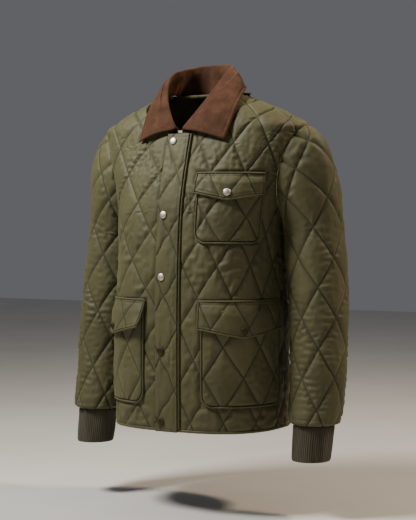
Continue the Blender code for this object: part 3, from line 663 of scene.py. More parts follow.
class Finish:
    """A Principled material with a few helpers for its nodes."""

    def __init__(self, name, roughness, metallic=0.0):
        self.material = bpy.data.materials.new(name)
        self.material.use_nodes = True
        self.nodes = self.material.node_tree.nodes
        self.links = self.material.node_tree.links
        self.shader = self.nodes["Principled BSDF"]
        self.shader.inputs["Roughness"].default_value = roughness
        self.shader.inputs["Metallic"].default_value = metallic
        self.place = self.nodes.new("ShaderNodeTexCoord").outputs["Object"]

    def link(self, out, to):
        self.links.new(out, to)

    def noise(self, scale, detail=2.0, stretch=(1, 1, 1), kind="FBM"):
        space = self.nodes.new("ShaderNodeMapping")
        space.inputs["Scale"].default_value = stretch
        self.link(self.place, space.inputs["Vector"])
        made = self.nodes.new("ShaderNodeTexNoise")
        made.noise_type = kind
        made.inputs["Scale"].default_value = scale
        made.inputs["Detail"].default_value = detail
        self.link(space.outputs["Vector"], made.inputs["Vector"])
        return made.outputs["Fac"]

    def bands(self, scale, direction, distortion=0.0):
        made = self.nodes.new("ShaderNodeTexWave")
        made.bands_direction = direction
        made.inputs["Scale"].default_value = scale
        made.inputs["Distortion"].default_value = distortion
        self.link(self.place, made.inputs["Vector"])
        return made.outputs["Fac"]

    def map_place(self, label):
        """The two coordinates of a UV layer, each on its own."""
        made = self.nodes.new("ShaderNodeUVMap")
        made.uv_map = label
        apart = self.nodes.new("ShaderNodeSeparateXYZ")
        self.link(made.outputs["UV"], apart.inputs["Vector"])
        return apart.outputs["X"], apart.outputs["Y"]

    def maths(self, operation, *values):
        made = self.nodes.new("ShaderNodeMath")
        made.operation = operation
        for place, value in zip(made.inputs, values):
            if isinstance(value, (int, float)):
                place.default_value = value
            else:
                self.link(value, place)
        return made.outputs["Value"]

    def wave(self, label, period, along="X"):
        """0 to 1 and back once in each period of a UV layer in metres."""
        across, up = self.map_place(label)
        turn = self.maths("MULTIPLY", across if along == "X" else up, 2 * math.pi / period)
        return self.maths("MULTIPLY_ADD", self.maths("SINE", turn), 0.5, 0.5)

    def threads(self):
        """Warp and weft of a plain weave."""
        return self.maths("MULTIPLY", self.wave("cloth", THREAD), self.wave("cloth", THREAD, "Y"))

    def stitches(self):
        """Thread dashes along both families of stitch lines, and a band of painted shade along
        their sunk grooves.
        """
        phases = self.map_place("quilt")
        sewn, sunk = [], []
        for across, along in (phases, phases[::-1]):
            away = self.maths("PINGPONG", across, 0.5)
            dash = self.maths("PINGPONG", self.maths("MULTIPLY", along, STITCHES), 0.5)
            line = self.spread(away, 1.0, 0.0, 0.0004 / LINE_GAP, 0.0008 / LINE_GAP)
            sewn.append(self.maths("MULTIPLY", line, self.spread(dash, 0.0, 1.0, 0.10, 0.20)))
            # painted shade: a band that darkens the cloth along each stitch groove
            sunk.append(self.spread(away, 1.0, 0.0, 0.0003 / LINE_GAP, 0.0020 / LINE_GAP))
        return self.maths("MAXIMUM", *sewn), self.maths("MAXIMUM", *sunk)

    def mixed(self, colour, share, other):
        made = self.nodes.new("ShaderNodeMix")
        made.data_type = "RGBA"
        self.link(share, made.inputs[0])
        self.link(colour, made.inputs[6])
        made.inputs[7].default_value = (*other, 1)
        return made.outputs[2]

    def ramp(self, value, *stops):
        made = self.nodes.new("ShaderNodeValToRGB")
        made.color_ramp.elements[0].position = stops[0][0]
        made.color_ramp.elements[0].color = (*stops[0][1], 1)
        made.color_ramp.elements[1].position = stops[-1][0]
        made.color_ramp.elements[1].color = (*stops[-1][1], 1)
        for position, colour in stops[1:-1]:
            made.color_ramp.elements.new(position).color = (*colour, 1)
        self.link(value, made.inputs["Fac"])
        return made.outputs["Color"]

    def bump(self, heights, strengths, distances):
        normal = None
        for height, strength, distance in zip(heights, strengths, distances):
            made = self.nodes.new("ShaderNodeBump")
            made.inputs["Strength"].default_value = strength
            made.inputs["Distance"].default_value = distance
            self.link(height, made.inputs["Height"])
            if normal is not None:
                self.link(normal, made.inputs["Normal"])
            normal = made.outputs["Normal"]
        self.link(normal, self.shader.inputs["Normal"])

    def spread(self, value, low, high, first=0.0, last=1.0):
        made = self.nodes.new("ShaderNodeMapRange")
        made.inputs["From Min"].default_value = first
        made.inputs["From Max"].default_value = last
        made.inputs["To Min"].default_value = low
        made.inputs["To Max"].default_value = high
        self.link(value, made.inputs["Value"])
        return made.outputs["Result"]


def nylon(name, dark, light, roughness, stitched=False):
    """Satin nylon: fine threads, soft mottling, the quilting's stitches, and painted shade in their
    grooves.
    """
    made = Finish(name, roughness)
    tone = made.ramp(made.noise(9, 3), (0.3, srgb(*dark)), (0.7, srgb(*light)))
    heights = [made.noise(42, 3, (1.6, 1.6, 0.55)), made.noise(30, 4, kind="RIDGED_MULTIFRACTAL"),
               made.noise(200, 4), made.threads()]
    strengths, distances = [0.5, 0.25, 0.5, 0.25], [0.002, 0.0014, 0.0008, 0.00012]
    if stitched:
        thread, sunk = made.stitches()
        # painted shade: the cloth darkened along the stitch grooves
        tone = made.mixed(tone, sunk, srgb(*[0.45 * value for value in dark]))
        # the stitch thread, darker than the cloth partly as its own colour and partly as painted
        # shade of the groove it lies in
        tone = made.mixed(tone, thread, srgb(*[0.85 * value for value in dark]))
        heights.append(thread)
        strengths.append(0.5)
        distances.append(0.0004)
    made.link(tone, made.shader.inputs["Base Color"])
    made.link(made.spread(made.noise(40, 3), roughness - 0.05, roughness + 0.08),
              made.shader.inputs["Roughness"])
    made.shader.inputs["Sheen Weight"].default_value = 0.18
    made.shader.inputs["Sheen Roughness"].default_value = 0.4
    made.shader.inputs["Sheen Tint"].default_value = (*srgb(190, 185, 150), 1)
    made.shader.inputs["Specular IOR Level"].default_value = 0.34
    made.bump(heights, strengths, distances)
    return made.material


def corduroy():
    """Brown cord: wales from the fold to the edge, with a soft brushed nap."""
    made = Finish("brown_corduroy_look", 0.95)
    wale = made.wave("cloth", WALE)
    nap = made.noise(60, 5)
    tone = made.ramp(nap, (0.25, srgb(58, 37, 25)), (0.5, srgb(74, 48, 34)),
                     (0.78, srgb(92, 62, 45)))
    tone = made.mixed(tone, made.spread(wale, 0.25, 0.0), srgb(44, 28, 19))
    made.link(tone, made.shader.inputs["Base Color"])
    made.shader.inputs["Sheen Weight"].default_value = 0.3
    made.shader.inputs["Sheen Roughness"].default_value = 0.5
    made.shader.inputs["Sheen Tint"].default_value = (*srgb(176, 128, 98), 1)
    made.shader.inputs["Specular IOR Level"].default_value = 0.2
    made.bump([made.noise(45, 4), wale, made.noise(900, 3)], [0.6, 0.4, 0.5],
              [0.002, 0.0004, 0.0005])
    return made.material


def rib():
    made = Finish("olive_rib_look", 0.92)
    tone = made.noise(120, 3, (1, 1, 0.1))
    made.link(made.ramp(tone, (0.3, srgb(50, 46, 34)), (0.7, srgb(66, 61, 46))),
              made.shader.inputs["Base Color"])
    made.shader.inputs["Sheen Weight"].default_value = 0.3
    made.shader.inputs["Specular IOR Level"].default_value = 0.2
    made.bump([made.noise(700, 2)], [0.4], [0.0004])
    return made.material


def metal(name, dark, light, roughness):
    made = Finish(name, roughness, 1.0)
    made.link(made.ramp(made.noise(300, 3), (0.3, srgb(*dark)), (0.7, srgb(*light))),
              made.shader.inputs["Base Color"])
    made.bump([made.noise(500, 2)], [0.08], [0.0003])
    return made.material


SHELL = nylon("olive_nylon_look", (69, 67, 42), (82, 79, 51), 0.62, stitched=True)
TRIM = nylon("olive_binding_look", (69, 67, 42), (82, 79, 51), 0.60)
CORDUROY = corduroy()
RIB = rib()
NICKEL = metal("nickel_look", (190, 180, 166), (222, 212, 198), 0.5)
# the same nickel darkened as painted shade, for the snaps low on the jacket
SHADED_NICKEL = metal("nickel_painted_shade_look", (56, 50, 38), (84, 76, 58), 0.5)


# ---------------------------------------------------------------- pieces
def settle(made, nodes, sheet=None):
    """Ride on the one body and stand for the CAD node; the cut sheet's area is capped at its flat
    size, but the sheet is not kept.
    """
    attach(made, "root")
    if nodes:
        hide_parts(*([nodes] if isinstance(nodes, str) else nodes))
    if sheet:
        wide, long = sheet["flat"]
        sheet["area"] = min(sheet["area"], wide * long)
    return made


def mirrored(points):
    return points * np.array([-1.0, 1.0, 1.0])


def dip(distance, width, depth):
    """A smooth trough at distance 0."""
    return -depth * np.exp(-(distance / width) ** 2)


def under_collar(points, side):
    """1 where the collar's leaf lies over a front, 0 elsewhere."""
    x, z = np.abs(points[..., 0]), points[..., 2]
    wide = 0.113 if side > 0 else 0.096
    inside = np.minimum(wide - x, z + 0.085 + 0.21 * x)
    return ease(inside / 0.010 + 0.9)


def under_pockets(around, level, side):
    """1 where a pocket or its flap is sewn over a front."""
    under = np.zeros(around.shape)
    for spec in POCKETS.values():
        if spec["side"] == side:
            for left, right, low, high in (
                    (spec["left"], spec["right"], spec["bottom"], spec["top"]),
                    (spec["flap_left"], spec["flap_right"], spec["opening"], spec["top"])):
                inside = np.minimum.reduce([around - left, right - around,
                                            level - low, high - level])
                under = np.maximum(under, np.clip(inside / 0.004 + 1.7, 0, 1))
    return under


def front_panel(side):
    """One front, on the wearer's left for side 1."""
    turn, level = fine_panel(False, 108, 265)
    form, normal = body(turn, level), body_normal(turn, level)
    around, up = cloth_lengths(turn, level, False)
    reach = PLACKET[1] + BINDING if side > 0 else -PLACKET[0]
    flat = np.maximum(under_pockets(around, level, side),
                      np.clip((reach + 0.002 - around) / 0.003 + 0.5, 0, 1))
    low = under_collar(form, side)
    around = around * side
    if side < 0:
        form, normal = mirrored(form), mirrored(normal)
        form, normal, around, up, flat, low = (field[:, ::-1] for field in
                                               (form, normal, around, up, flat, low))
    name = "front_left" if side > 0 else "front_right"
    made = quilted(name + "_cloth", form, normal, around, up, QUILTING[name],
                   ("first", "last", "right" if side > 0 else "left"), flat=flat, low=low,
                   seed=5 + side)
    settle(made, name, {"flat": (0.30, 0.70), "held": "stretched",
                                       "area": round(grid_area(form) * 1.08, 3)})


def back_panel():
    turn, level = fine_panel(True, 101, 250)
    around, up = cloth_lengths(turn, level, True)
    form, normal = body(turn, level), body_normal(turn, level)
    form = np.concatenate([mirrored(form)[:, :0:-1], form], axis=1)
    normal = np.concatenate([mirrored(normal)[:, :0:-1], normal], axis=1)
    around = np.concatenate([-around[:, :0:-1], around], axis=1)
    up = np.concatenate([up[:, :0:-1], up], axis=1)
    made = quilted("back_cloth", form, normal, around, up, QUILTING["back"],
                   ("first", "last", "left", "right"), seed=40, spacing=0.0024)
    settle(made, "back", {"flat": (0.60, 0.72), "held": "stretched",
                                         "area": round(grid_area(form) * 1.08, 3)})


def ring(columns, level, turn):
    across = smooth(columns, "across", level)
    along = smooth(columns, "along", level)
    x = smooth(columns, "x", level) - across * np.cos(turn)
    y = smooth(columns, "y", level) - along * np.sin(turn)
    return np.stack([x, y, np.full_like(x, 1.0) * level], -1)


def sleeve_form(columns, rows_cap, rows_tube):
    """Rings of a sleeve from the armhole to the cuff."""
    turn = np.linspace(0, 2 * math.pi, columns + 1)[:-1]
    half = columns // 2
    points = []
    for behind in (False, True):
        t = turn[:half + 1]
        level = UNDERARM + (SHOULDER_TIP - UNDERARM) * (1 - np.cos(t)) / 2
        reach = ARMHOLE_BACK if behind else ARMHOLE_FRONT
        share = 1 - reach * np.sin(t)
        points.append(body(turn_at_share(share, level, behind), level))
    start = np.concatenate([points[0], points[1][-2:0:-1]])
    degrees = np.degrees(turn)
    leave = unit(np.stack([smooth(CAP, d, degrees, "turn") for d in ("dx", "dy", "dz")], -1))
    reach = smooth(CAP, "reach", degrees, "turn")[:, None]
    top = SLEEVE["level"][0]
    end = ring(SLEEVE, top, turn)
    arrive = unit(ring(SLEEVE, top - 0.03, turn) - end)
    far = np.linalg.norm(end - start, axis=1)[:, None] * reach
    rows = []
    for t in np.linspace(0, 1, rows_cap + 1)[:-1]:
        rows.append((1 + 2 * t) * (1 - t) ** 2 * start + t * t * (3 - 2 * t) * end
                    + t * (1 - t) ** 2 * far * leave + t * t * (t - 1) * far * arrive)
    low = SLEEVE["level"][-1]
    eased = np.linspace(0, 1, rows_tube)
    eased = np.where(eased < 0.9, eased / 0.9 * 0.955, 0.955 + (eased - 0.9) / 0.1 * 0.045)
    rows += [ring(SLEEVE, level, turn) for level in top + (low - top) * eased]
    return turn, np.array(rows)


def sleeve(side):
    """A sleeve, fuller at its head, and crumpled from the elbow down."""
    columns, cap, tube = 152, 60, 165
    turn, form = sleeve_form(columns, cap, tube)
    normal = outward(form, closed=True)
    if ((form - form.mean(axis=1, keepdims=True)) * normal).sum() < 0:
        normal = -normal
    down = grid_lengths(form)[0]
    up = down[cap] - down
    around = (turn / (2 * math.pi) * 5 * DIAMOND[0])[None, :] + 0 * up
    lower = ease((0.02 - up) / 0.20)
    bend = np.exp(-((up + 0.10) / 0.08) ** 2) * (0.6 - 0.4 * np.sin(turn))[None, :]
    slack = (0.008 + 0 * up, 0.008 + 0.022 * lower + 0.02 * bend)
    head = np.exp(-((np.arange(len(form)) - 8) / 7.0) ** 2)[:, None] * \
        np.clip(-np.cos(turn), 0, 1)[None, :]
    form = form + normal * (0.0012 * head)[..., None]
    if side < 0:
        form, normal = mirrored(form)[:, ::-1], mirrored(normal)[:, ::-1]
        around, up = -around[:, ::-1], up[:, ::-1]
        slack = (slack[0][:, ::-1], slack[1][:, ::-1])
    name = "sleeve_left" if side > 0 else "sleeve_right"
    made = quilted(name + "_cloth", form, normal, around, up, QUILTING[name],
                   ("first", "last"), closed=True, slack=slack, seed=70 if side > 0 else 90,
                   spacing=0.0021)
    settle(made, name, {"flat": (0.42, 0.62), "held": "stretched",
                                       "area": round(grid_area(form, closed=True) * 1.08, 3)})


def cuff(side):
    """A rib cuff: real ribs round it, its top and bottom rows sunk a little."""
    ribs = 60
    turn = np.linspace(0, 2 * math.pi, ribs * 6 + 1)[:-1]
    levels = np.linspace(CUFF["level"][0], CUFF["level"][-1], 30)
    form = np.array([ring(CUFF, level, turn) for level in levels])
    normal = outward(form, closed=True)
    if ((form - form.mean(axis=1, keepdims=True)) * normal).sum() < 0:
        normal = -normal
    drift = 0.6 * noise(turn * 3, 0 * turn, 8)
    height = 0.0006 * np.cos(turn * ribs + drift)[None, :] + 0 * levels[:, None]
    height = height + 0.0006 * noise(turn[None, :] * 3, levels[:, None] / 0.03, 12 + side)
    ends = np.clip(np.minimum(np.arange(30), 29 - np.arange(30)) / 2.0, 0, 1)[:, None]
    height = height - 0.0012 * (1 - ends)
    if side < 0:
        form, normal, height = mirrored(form)[:, ::-1], mirrored(normal)[:, ::-1], height[:, ::-1]
    name = "cuff_left" if side > 0 else "cuff_right"
    made = shell(name + "_knit", form + normal * height[..., None], form - normal * CUFF_WALL,
                 RIB, closed=True)
    settle(made, name,
           {"flat": (0.255, 0.072), "held": "stretched", "area": round(grid_area(form, True), 4)})


def neck_seam(turn):
    behind = turn <= COLLAR_SIDE
    along = np.where(behind, turn / COLLAR_SIDE, (180 - turn) / (180 - COLLAR_SIDE))
    halves = []
    for rear in (True, False):
        share, level = neckline(rear, along)
        halves.append(body(turn_at_share(share, level, rear), level))
    points = np.where(behind[:, None], *halves)
    inward = unit(np.array([0.0, NECK_MIDDLE, 0.0]) - points * [1, 1, 0])
    return points + inward * NECK_STEP + np.array([0, 0, SEAT])


def collar_half(turn, side):
    """Half the collar's middle surface as in the frame, drawn finely."""
    seam = neck_seam(turn)
    seam[:, 0] = np.maximum(seam[:, 0], np.clip((turn - 165) / 15, 0, 1) * 0.006)
    fold = np.stack([smooth(COLLAR, name, turn, "turn") for name in ("fx", "fy", "fz")], -1)
    names = ("lx", "ly", "ez") if side > 0 else ("rx", "ry", "ez")
    edge = np.stack([smooth(COLLAR, name, turn, "turn") for name in names], -1)
    out = unit(fold * [1, 1, 0] + [0, 0.02, 0])
    tall = np.linalg.norm(seam - fold, axis=1)[:, None]
    drop = np.minimum(0.009, 0.45 * tall)
    bow = smooth(COLLAR, "bow", turn, "turn")[:, None]
    leaf = unit(edge - fold)
    lift = np.cross(leaf, np.gradient(fold, axis=0))
    lift = unit(lift) * np.sign((unit(lift) * (out + [0, 0, 0.3])).sum(1))[:, None]
    control = [seam, (seam + fold) / 2 - out * 0.002 * (tall > 0.02),
               fold + unit(seam - fold) * drop - out * 0.0028 * drop / 0.009, fold,
               fold + leaf * 0.009 + out * 0.0038 * drop / 0.009]
    control += [fold + (edge - fold) * t + lift * bow * 4 * t * (1 - t)
                for t in (0.35, 0.6, 0.82, 1.0)]
    control = np.array(control)
    marks = np.array([0, 0.16, 0.30, 0.36, 0.43, 0.60, 0.74, 0.88, 1.0])
    fine = np.linspace(0, 1, COLLAR_ROWS)
    rows = [smooth({"level": marks, "v": control[:, k, c]}, "v", fine)
            for k in range(len(turn)) for c in range(3)]
    return np.stack(rows, -1).reshape(COLLAR_ROWS, len(turn), 3)


def collar():
    """Stand and leaf, with a topstitched and rolled edge."""
    turn = np.linspace(0, 180, 121)
    fine = np.linspace(0, 1, COLLAR_ROWS)
    whole = np.concatenate([mirrored(collar_half(turn, -1))[:, :0:-1], collar_half(turn, 1)],
                           axis=1)
    normal = outward(whole)
    angle = np.concatenate([-turn[:0:-1], turn])
    down = np.concatenate([np.zeros((1, len(angle))),
                           np.cumsum(np.linalg.norm(np.diff(whole, axis=0), axis=2), axis=0)])
    below = down[-1] - down
    along = np.concatenate([np.zeros((COLLAR_ROWS, 1)),
                            np.cumsum(np.linalg.norm(np.diff(whole, axis=1), axis=2), axis=1)],
                           axis=1)
    ends = np.minimum(along, along[:, -1:] - along)
    leafy = np.clip((fine - 0.42) / 0.08, 0, 1)[:, None]
    standy = np.clip((0.34 - fine) / 0.08, 0, 1)[:, None]
    near_edge = np.minimum(below, ends + (1 - leafy))
    welt = 0.0012 * np.exp(-((near_edge - 0.0030) / 0.0026) ** 2)
    stitch = dip(near_edge - 0.0066, 0.0012, 0.0013)
    thick = COLLAR_WALL / 2 + (welt + stitch) * leafy
    ripple = noise(angle[None, :] / 11 + 0 * down, down / 0.05, 17)
    bend = 0.0024 * standy * ripple + 0.0013 * leafy * noise(along / 0.035, down / 0.045, 23)
    made = two_sided("collar_cloth", whole + normal * bend[..., None], normal, thick, CORDUROY,
                     np.stack([along - along[:, -1:] / 2, down], -1))
    settle(made, "collar",
           {"flat": (0.52, 0.155), "held": "folded", "area": round(grid_area(whole), 4)})


def two_sided(name, middle, normal, thick, finish, cloth_uv=None):
    """A closed sheet with its thickness on both sides of a grid and round edges."""
    rows, columns = middle.shape[:2]
    r = np.minimum(np.arange(rows), rows - 1 - np.arange(rows))[:, None]
    c = np.minimum(np.arange(columns), columns - 1 - np.arange(columns))[None, :]
    near = np.minimum(r, c)
    round_off = np.sqrt(np.clip(1 - (1 - np.clip(near / 1.6, 0, 1)) ** 2, 0.12, 1))
    upper = middle + normal * (thick * round_off)[..., None]
    lower = middle - normal * (thick * round_off)[..., None]
    count = rows * columns
    faces = [grid_faces(rows, columns, 0), grid_faces(rows, columns, count, flip=True)]
    rims = [(np.arange(columns), True), ((rows - 1) * columns + np.arange(columns), False),
            (np.arange(rows) * columns, False), (np.arange(rows) * columns + columns - 1, True)]
    for rim, flip in rims:
        quad = np.stack([rim[:-1], rim[1:], rim[1:] + count, rim[:-1] + count], -1)
        faces.append(quad[:, ::-1] if flip else quad)
    layers = {} if cloth_uv is None else {"cloth": np.tile(cloth_uv.reshape(-1, 2), (2, 1))}
    made = mesh_object(name, np.concatenate([upper.reshape(-1, 3), lower.reshape(-1, 3)]),
                       list(np.concatenate(faces)), finish, layers)
    fix_faces(made)
    return made


def placket():
    """Quilted strip over the zip, with its seams sunk and its stitched top."""
    across = np.linspace(PLACKET[0], PLACKET[1], 24)[None, :]
    level = np.linspace(HEM - HEM_BINDING, PLACKET_TOP, 240)[:, None]
    held = np.maximum(level, HEM) + 0 * across
    spread = across + 0 * level
    form = on_front(spread, held, SEAT)
    form[..., 2] += level - np.maximum(level, HEM)
    turn = turn_at_length(spread, held)
    normal = body_normal(turn, held)
    _, up = cloth_lengths(turn, held, False)
    up = up + (level - np.maximum(level, HEM))
    low = np.zeros(spread.shape)
    for snap_level in SNAP_LEVELS:
        away = np.hypot(spread - SNAP_ACROSS, level - snap_level)
        low = np.maximum(low, np.exp(-(away / 0.013) ** 2))
    low = np.maximum(low, np.exp(-((PLACKET_TOP - level - 0.0075) / 0.0016) ** 2))
    made = quilted("placket_cloth", form, normal, spread, up, QUILTING["front_left"],
                   ("first", "last", "left", "right"), low=low, slack=(0.0, 0.008), lobe=0.0030,
                   sunk=0.0014, thick=0.0, rise=PLACKET_WALL, seed=19, spacing=0.0017, pucker=0.06,
                   topstitch=TOPSTITCH)
    settle(made, "placket",
           {"flat": (0.054, 0.61), "held": "stretched", "area": round(grid_area(form), 4)})


def line_frame(points, normal, closed=False):
    ahead = np.roll(points, -1, axis=0) - np.roll(points, 1, axis=0)
    if not closed:
        ahead[0] = points[1] - points[0]
        ahead[-1] = points[-1] - points[-2]
    return unit(np.cross(normal, ahead))


def front_strip(name, across, level, out, wide, tall, node, closed=False, seed=0):
    """A half-round binding along a line on the front, puckered by its stitches."""
    turn = turn_at_length(across, level)
    normal = body_normal(turn, level)
    points = body(turn, level) + normal * np.asarray(out)[..., None]
    side = line_frame(points, normal, closed)
    run = np.concatenate([[0], np.cumsum(np.linalg.norm(np.diff(points, axis=0), axis=1))])
    tall_here = tall * (1 + 0.16 * noise(run / 0.006, 0 * run, seed))
    profile = round_profile(wide, 1.0)
    rings = np.stack([points + side * a + normal * (tall_here * o)[:, None]
                      for a, o in profile], axis=1)
    rows, columns = rings.shape[:2]
    faces = []
    for k in range(rows if closed else rows - 1):
        near, far = k * columns, ((k + 1) % rows) * columns
        faces += [(near + i, near + (i + 1) % columns, far + (i + 1) % columns, far + i)
                  for i in range(columns)]
    if not closed:
        faces += [tuple(range(columns))[::-1],
                  tuple((rows - 1) * columns + i for i in range(columns))]
    made = mesh_object(name, rings.reshape(-1, 3), faces, TRIM)
    fix_faces(made)
    return settle(made, node,
                  {"flat": (round(float(run[-1]) + 0.002, 3), 0.011), "held": "folded",
                   "area": round(float(run[-1]) * 0.0085, 5)})


def even(points_across, points_level, spacing, closed=False):
    """A line through the points with an even spacing."""
    if closed:
        points_across = np.append(points_across, points_across[0])
        points_level = np.append(points_level, points_level[0])
    run = np.concatenate([[0], np.cumsum(np.hypot(np.diff(points_across),
                                                  np.diff(points_level)))])
    count = int(run[-1] / spacing)
    at = np.linspace(0, run[-1], count + 1)
    at = at[:-1] if closed else at
    return np.interp(at, run, points_across), np.interp(at, run, points_level)


# bright: the snap gets the lit nickel; the others get the darker copy that paints shade on them
POCKETS = {
    "chest": {"side": 1, "left": 0.0650, "right": 0.1930, "opening": -0.190, "bottom": -0.309,
              "corner": 0.018, "flap_left": 0.0590, "flap_right": 0.1895, "top": -0.176,
              "hang": 0.036, "point": 0.013, "tip": 0.48, "snap_up": 0.012, "lift": 0.0,
              "bright": True},
    "lower_left": {"side": 1, "left": 0.0820, "right": 0.2540, "opening": -0.446,
                   "bottom": -0.634, "corner": 0.020, "flap_left": 0.0755,
                   "flap_right": 0.2600, "top": -0.430, "hang": 0.050, "point": 0.017,
                   "tip": 0.47, "snap_up": 0.012, "lift": 0.0, "bright": False}}
POCKETS["lower_right"] = dict(POCKETS["lower_left"], side=-1, left=0.0590, right=0.2310,
                              flap_left=0.0540, flap_right=0.2370, lift=0.010)


def pocket(name, spec):
    """A quilted patch with round lower corners, and its piping."""
    side = spec["side"]
    tall = spec["opening"] - spec["bottom"]
    rows, columns = int(tall / 0.0022), int((spec["right"] - spec["left"]) / 0.0022)
    depth = np.linspace(0, tall - spec["corner"] * 0.02, rows)
    drop = np.clip(depth - (tall - spec["corner"]), 0, spec["corner"])
    inset = spec["corner"] - np.sqrt(np.maximum(spec["corner"] ** 2 - drop ** 2, 0))
    left, right = spec["left"] + inset, spec["right"] - inset
    share = np.linspace(0, 1, columns)[None, :]
    around = side * (left[:, None] * (1 - share) + right[:, None] * share)
    level = (spec["opening"] - depth)[:, None] + 0 * share
    if side < 0:
        around = around[:, ::-1]
    turn = turn_at_length(around, level)
    normal = body_normal(turn, level)
    _, up = cloth_lengths(turn, level, False)
    form = body(turn, level) + normal * SEAT
    tip = spec["flap_left"] + (spec["flap_right"] - spec["flap_left"]) * spec["tip"]
    pattern = {"wide": DIAMOND[0], "tall": DIAMOND[1], "lean": 0.0, "across": side * tip,
               "up": float(up[0].mean()) - 0.010}
    made = quilted(name + "_pocket_cloth", form, normal, around, up, pattern,
                   ("last", "left", "right"), slack=(0.004, 0.010), lobe=0.0040, sunk=0.0018,
                   thick=0.0, rise=POCKET_WALL, seed=60 + int(1000 * spec["left"]), pucker=0.09)
    settle(made, name + "_pocket",
           {"flat": (round(spec["right"] - spec["left"], 3), round(tall, 3)),
            "held": "stretched", "area": round(grid_area(form) * 1.02, 4)})
    margin = BINDING / 2 + 4 * GAP
    across, level = pocket_outline(spec, margin)
    across, level = even(across, level, 0.003)
    front_strip(name + "_pocket_trim", side * across, level, np.full_like(across, SEAT),
                BINDING, POCKET_WALL, name + "_pocket_piping", seed=3)


def pocket_outline(spec, margin):
    left, right = spec["left"] - margin, spec["right"] + margin
    bottom = spec["bottom"] - margin
    radius = spec["corner"] + margin
    bend = np.linspace(0, QUARTER, 9)
    across = np.concatenate([[left], left + radius - radius * np.cos(bend),
                             right - radius + radius * np.sin(bend), [right]])
    level = np.concatenate([[spec["opening"]], bottom + radius - radius * np.sin(bend),
                            bottom + radius - radius * np.cos(bend), [spec["opening"]]])
    return across, level


def flap_depth(spec, share):
    tip = spec["tip"]
    rise = np.where(share < tip, share / tip, (1 - share) / (1 - tip))
    return spec["hang"] + spec["point"] * rise


def flap_place(spec, share, down):
    """(length, level, out) on a flap, at shares of its width and its depth."""
    lifted = spec["lift"] * down ** 2 * (1 - share) ** 2
    across = spec["flap_left"] + (spec["flap_right"] - spec["flap_left"]) * share + lifted * 0.8
    level = spec["top"] - down * flap_depth(spec, share)
    over = SEAT + (POCKET_WALL + SEAT) * ease(down / 0.45) + lifted
    return across, level, over + FLAP_STAND * down ** 2


def flap(name, spec):
    side = spec["side"]
    share = np.linspace(0, 1, int((spec["flap_right"] - spec["flap_left"]) / 0.0022))[None, :]
    down = np.linspace(0, 1, int((spec["hang"] + spec["point"]) / 0.0022))[:, None]
    if side < 0:
        share = share[:, ::-1]
    across, level, over = flap_place(spec, share + 0 * down, down + 0 * share)
    turn = turn_at_length(side * across, level)
    normal = body_normal(turn, level)
    _, up = cloth_lengths(turn, level, False)
    form = body(turn, level) + normal * over[..., None]
    tip = spec["flap_left"] + (spec["flap_right"] - spec["flap_left"]) * spec["tip"]
    snap_at = spec["hang"] + spec["point"] - spec["snap_up"]
    low = np.exp(-((across - tip) ** 2 + (level - spec["top"] + snap_at) ** 2) / 0.013 ** 2)
    made = quilted(name + "_flap_cloth", form, normal, side * across, up,
                   QUILTING["front_left" if side > 0 else "front_right"],
                   ("first", "last", "left", "right"), low=low, slack=(0.002, 0.002),
                   lobe=0.0020, sunk=0.0010, thick=0.0, rise=FLAP_WALL,
                   seed=33 + int(1000 * spec["left"]), pucker=0.06, topstitch=TOPSTITCH)
    settle(made, name + "_flap",
           {"flat": (round(spec["flap_right"] - spec["flap_left"], 3),
                     round(spec["hang"] + spec["point"], 3)),
            "held": "hung", "area": round(grid_area(form) * 1.02, 4)})
    reach = BINDING / 2 + GAP
    shares = np.concatenate([np.linspace(0, 1, 50), np.full(14, 1.0), np.linspace(1, 0, 50),
                             np.zeros(14)])
    downs = np.concatenate([np.zeros(50), np.linspace(0, 1, 16)[1:-1], np.ones(50),
                            np.linspace(1, 0, 16)[1:-1]])
    across, level, over = flap_place(spec, shares, downs)
    across = across + np.where(shares == 0, -reach, np.where(shares == 1, reach, 0))
    level = level + np.where(downs == 0, reach, np.where(downs == 1, -reach, 0))
    front_strip(name + "_flap_trim", side * across, level, over, BINDING, FLAP_WALL * 1.1,
                name + "_flap_binding", closed=True, seed=4)
    tall = float(flap_depth(spec, np.array(spec["tip"])))
    spot, level, over = flap_place(spec, spec["tip"], 1 - spec["snap_up"] / tall)
    snap(name + "_flap_cap", side * float(spot), float(level), float(over) + FLAP_WALL + 2 * GAP,
         spec["bright"], name + "_flap_snap")


def snap(name, across, level, out, bright, node):
    """A pressed metal cap with a rolled rim and a shallow dish."""
    turn = turn_at_length(across, level)
    normal = body_normal(turn, level)
    place = body(turn, level) + normal * out
    sideways = unit(np.cross([0.0, 0.0, 1.0], normal))
    up = np.cross(normal, sideways)
    profile = [(0.80, -0.30), (0.97, -0.05), (1.0, 0.18), (0.97, 0.40), (0.90, 0.56),
               (0.80, 0.66), (0.62, 0.82), (0.40, 0.94), (0.20, 0.99), (0.02, 1.0)]
    if not bright:
        profile = [(0.80, -0.30), (0.97, -0.05), (1.0, 0.18), (0.97, 0.48), (0.88, 0.62),
                   (0.78, 0.58), (0.68, 0.44), (0.52, 0.46), (0.26, 0.60), (0.02, 0.66)]
    angle = np.linspace(0, 2 * math.pi, 49)[:-1, None]
    circle = sideways * np.cos(angle) + up * np.sin(angle)
    rings = np.array([place + normal * h * SNAP_HEIGHT + circle * r * SNAP_RADIUS
                      for r, h in profile])
    rows, columns = rings.shape[:2]
    faces = list(grid_faces(rows, columns, 0, closed=True))
    faces += [tuple(range(columns)), tuple((rows - 1) * columns + i for i in range(columns))]
    # snaps that are not bright take the nickel darkened with painted shade
    made = mesh_object(name, rings.reshape(-1, 3), faces, NICKEL if bright else SHADED_NICKEL)
    fix_faces(made)
    settle(made, node)


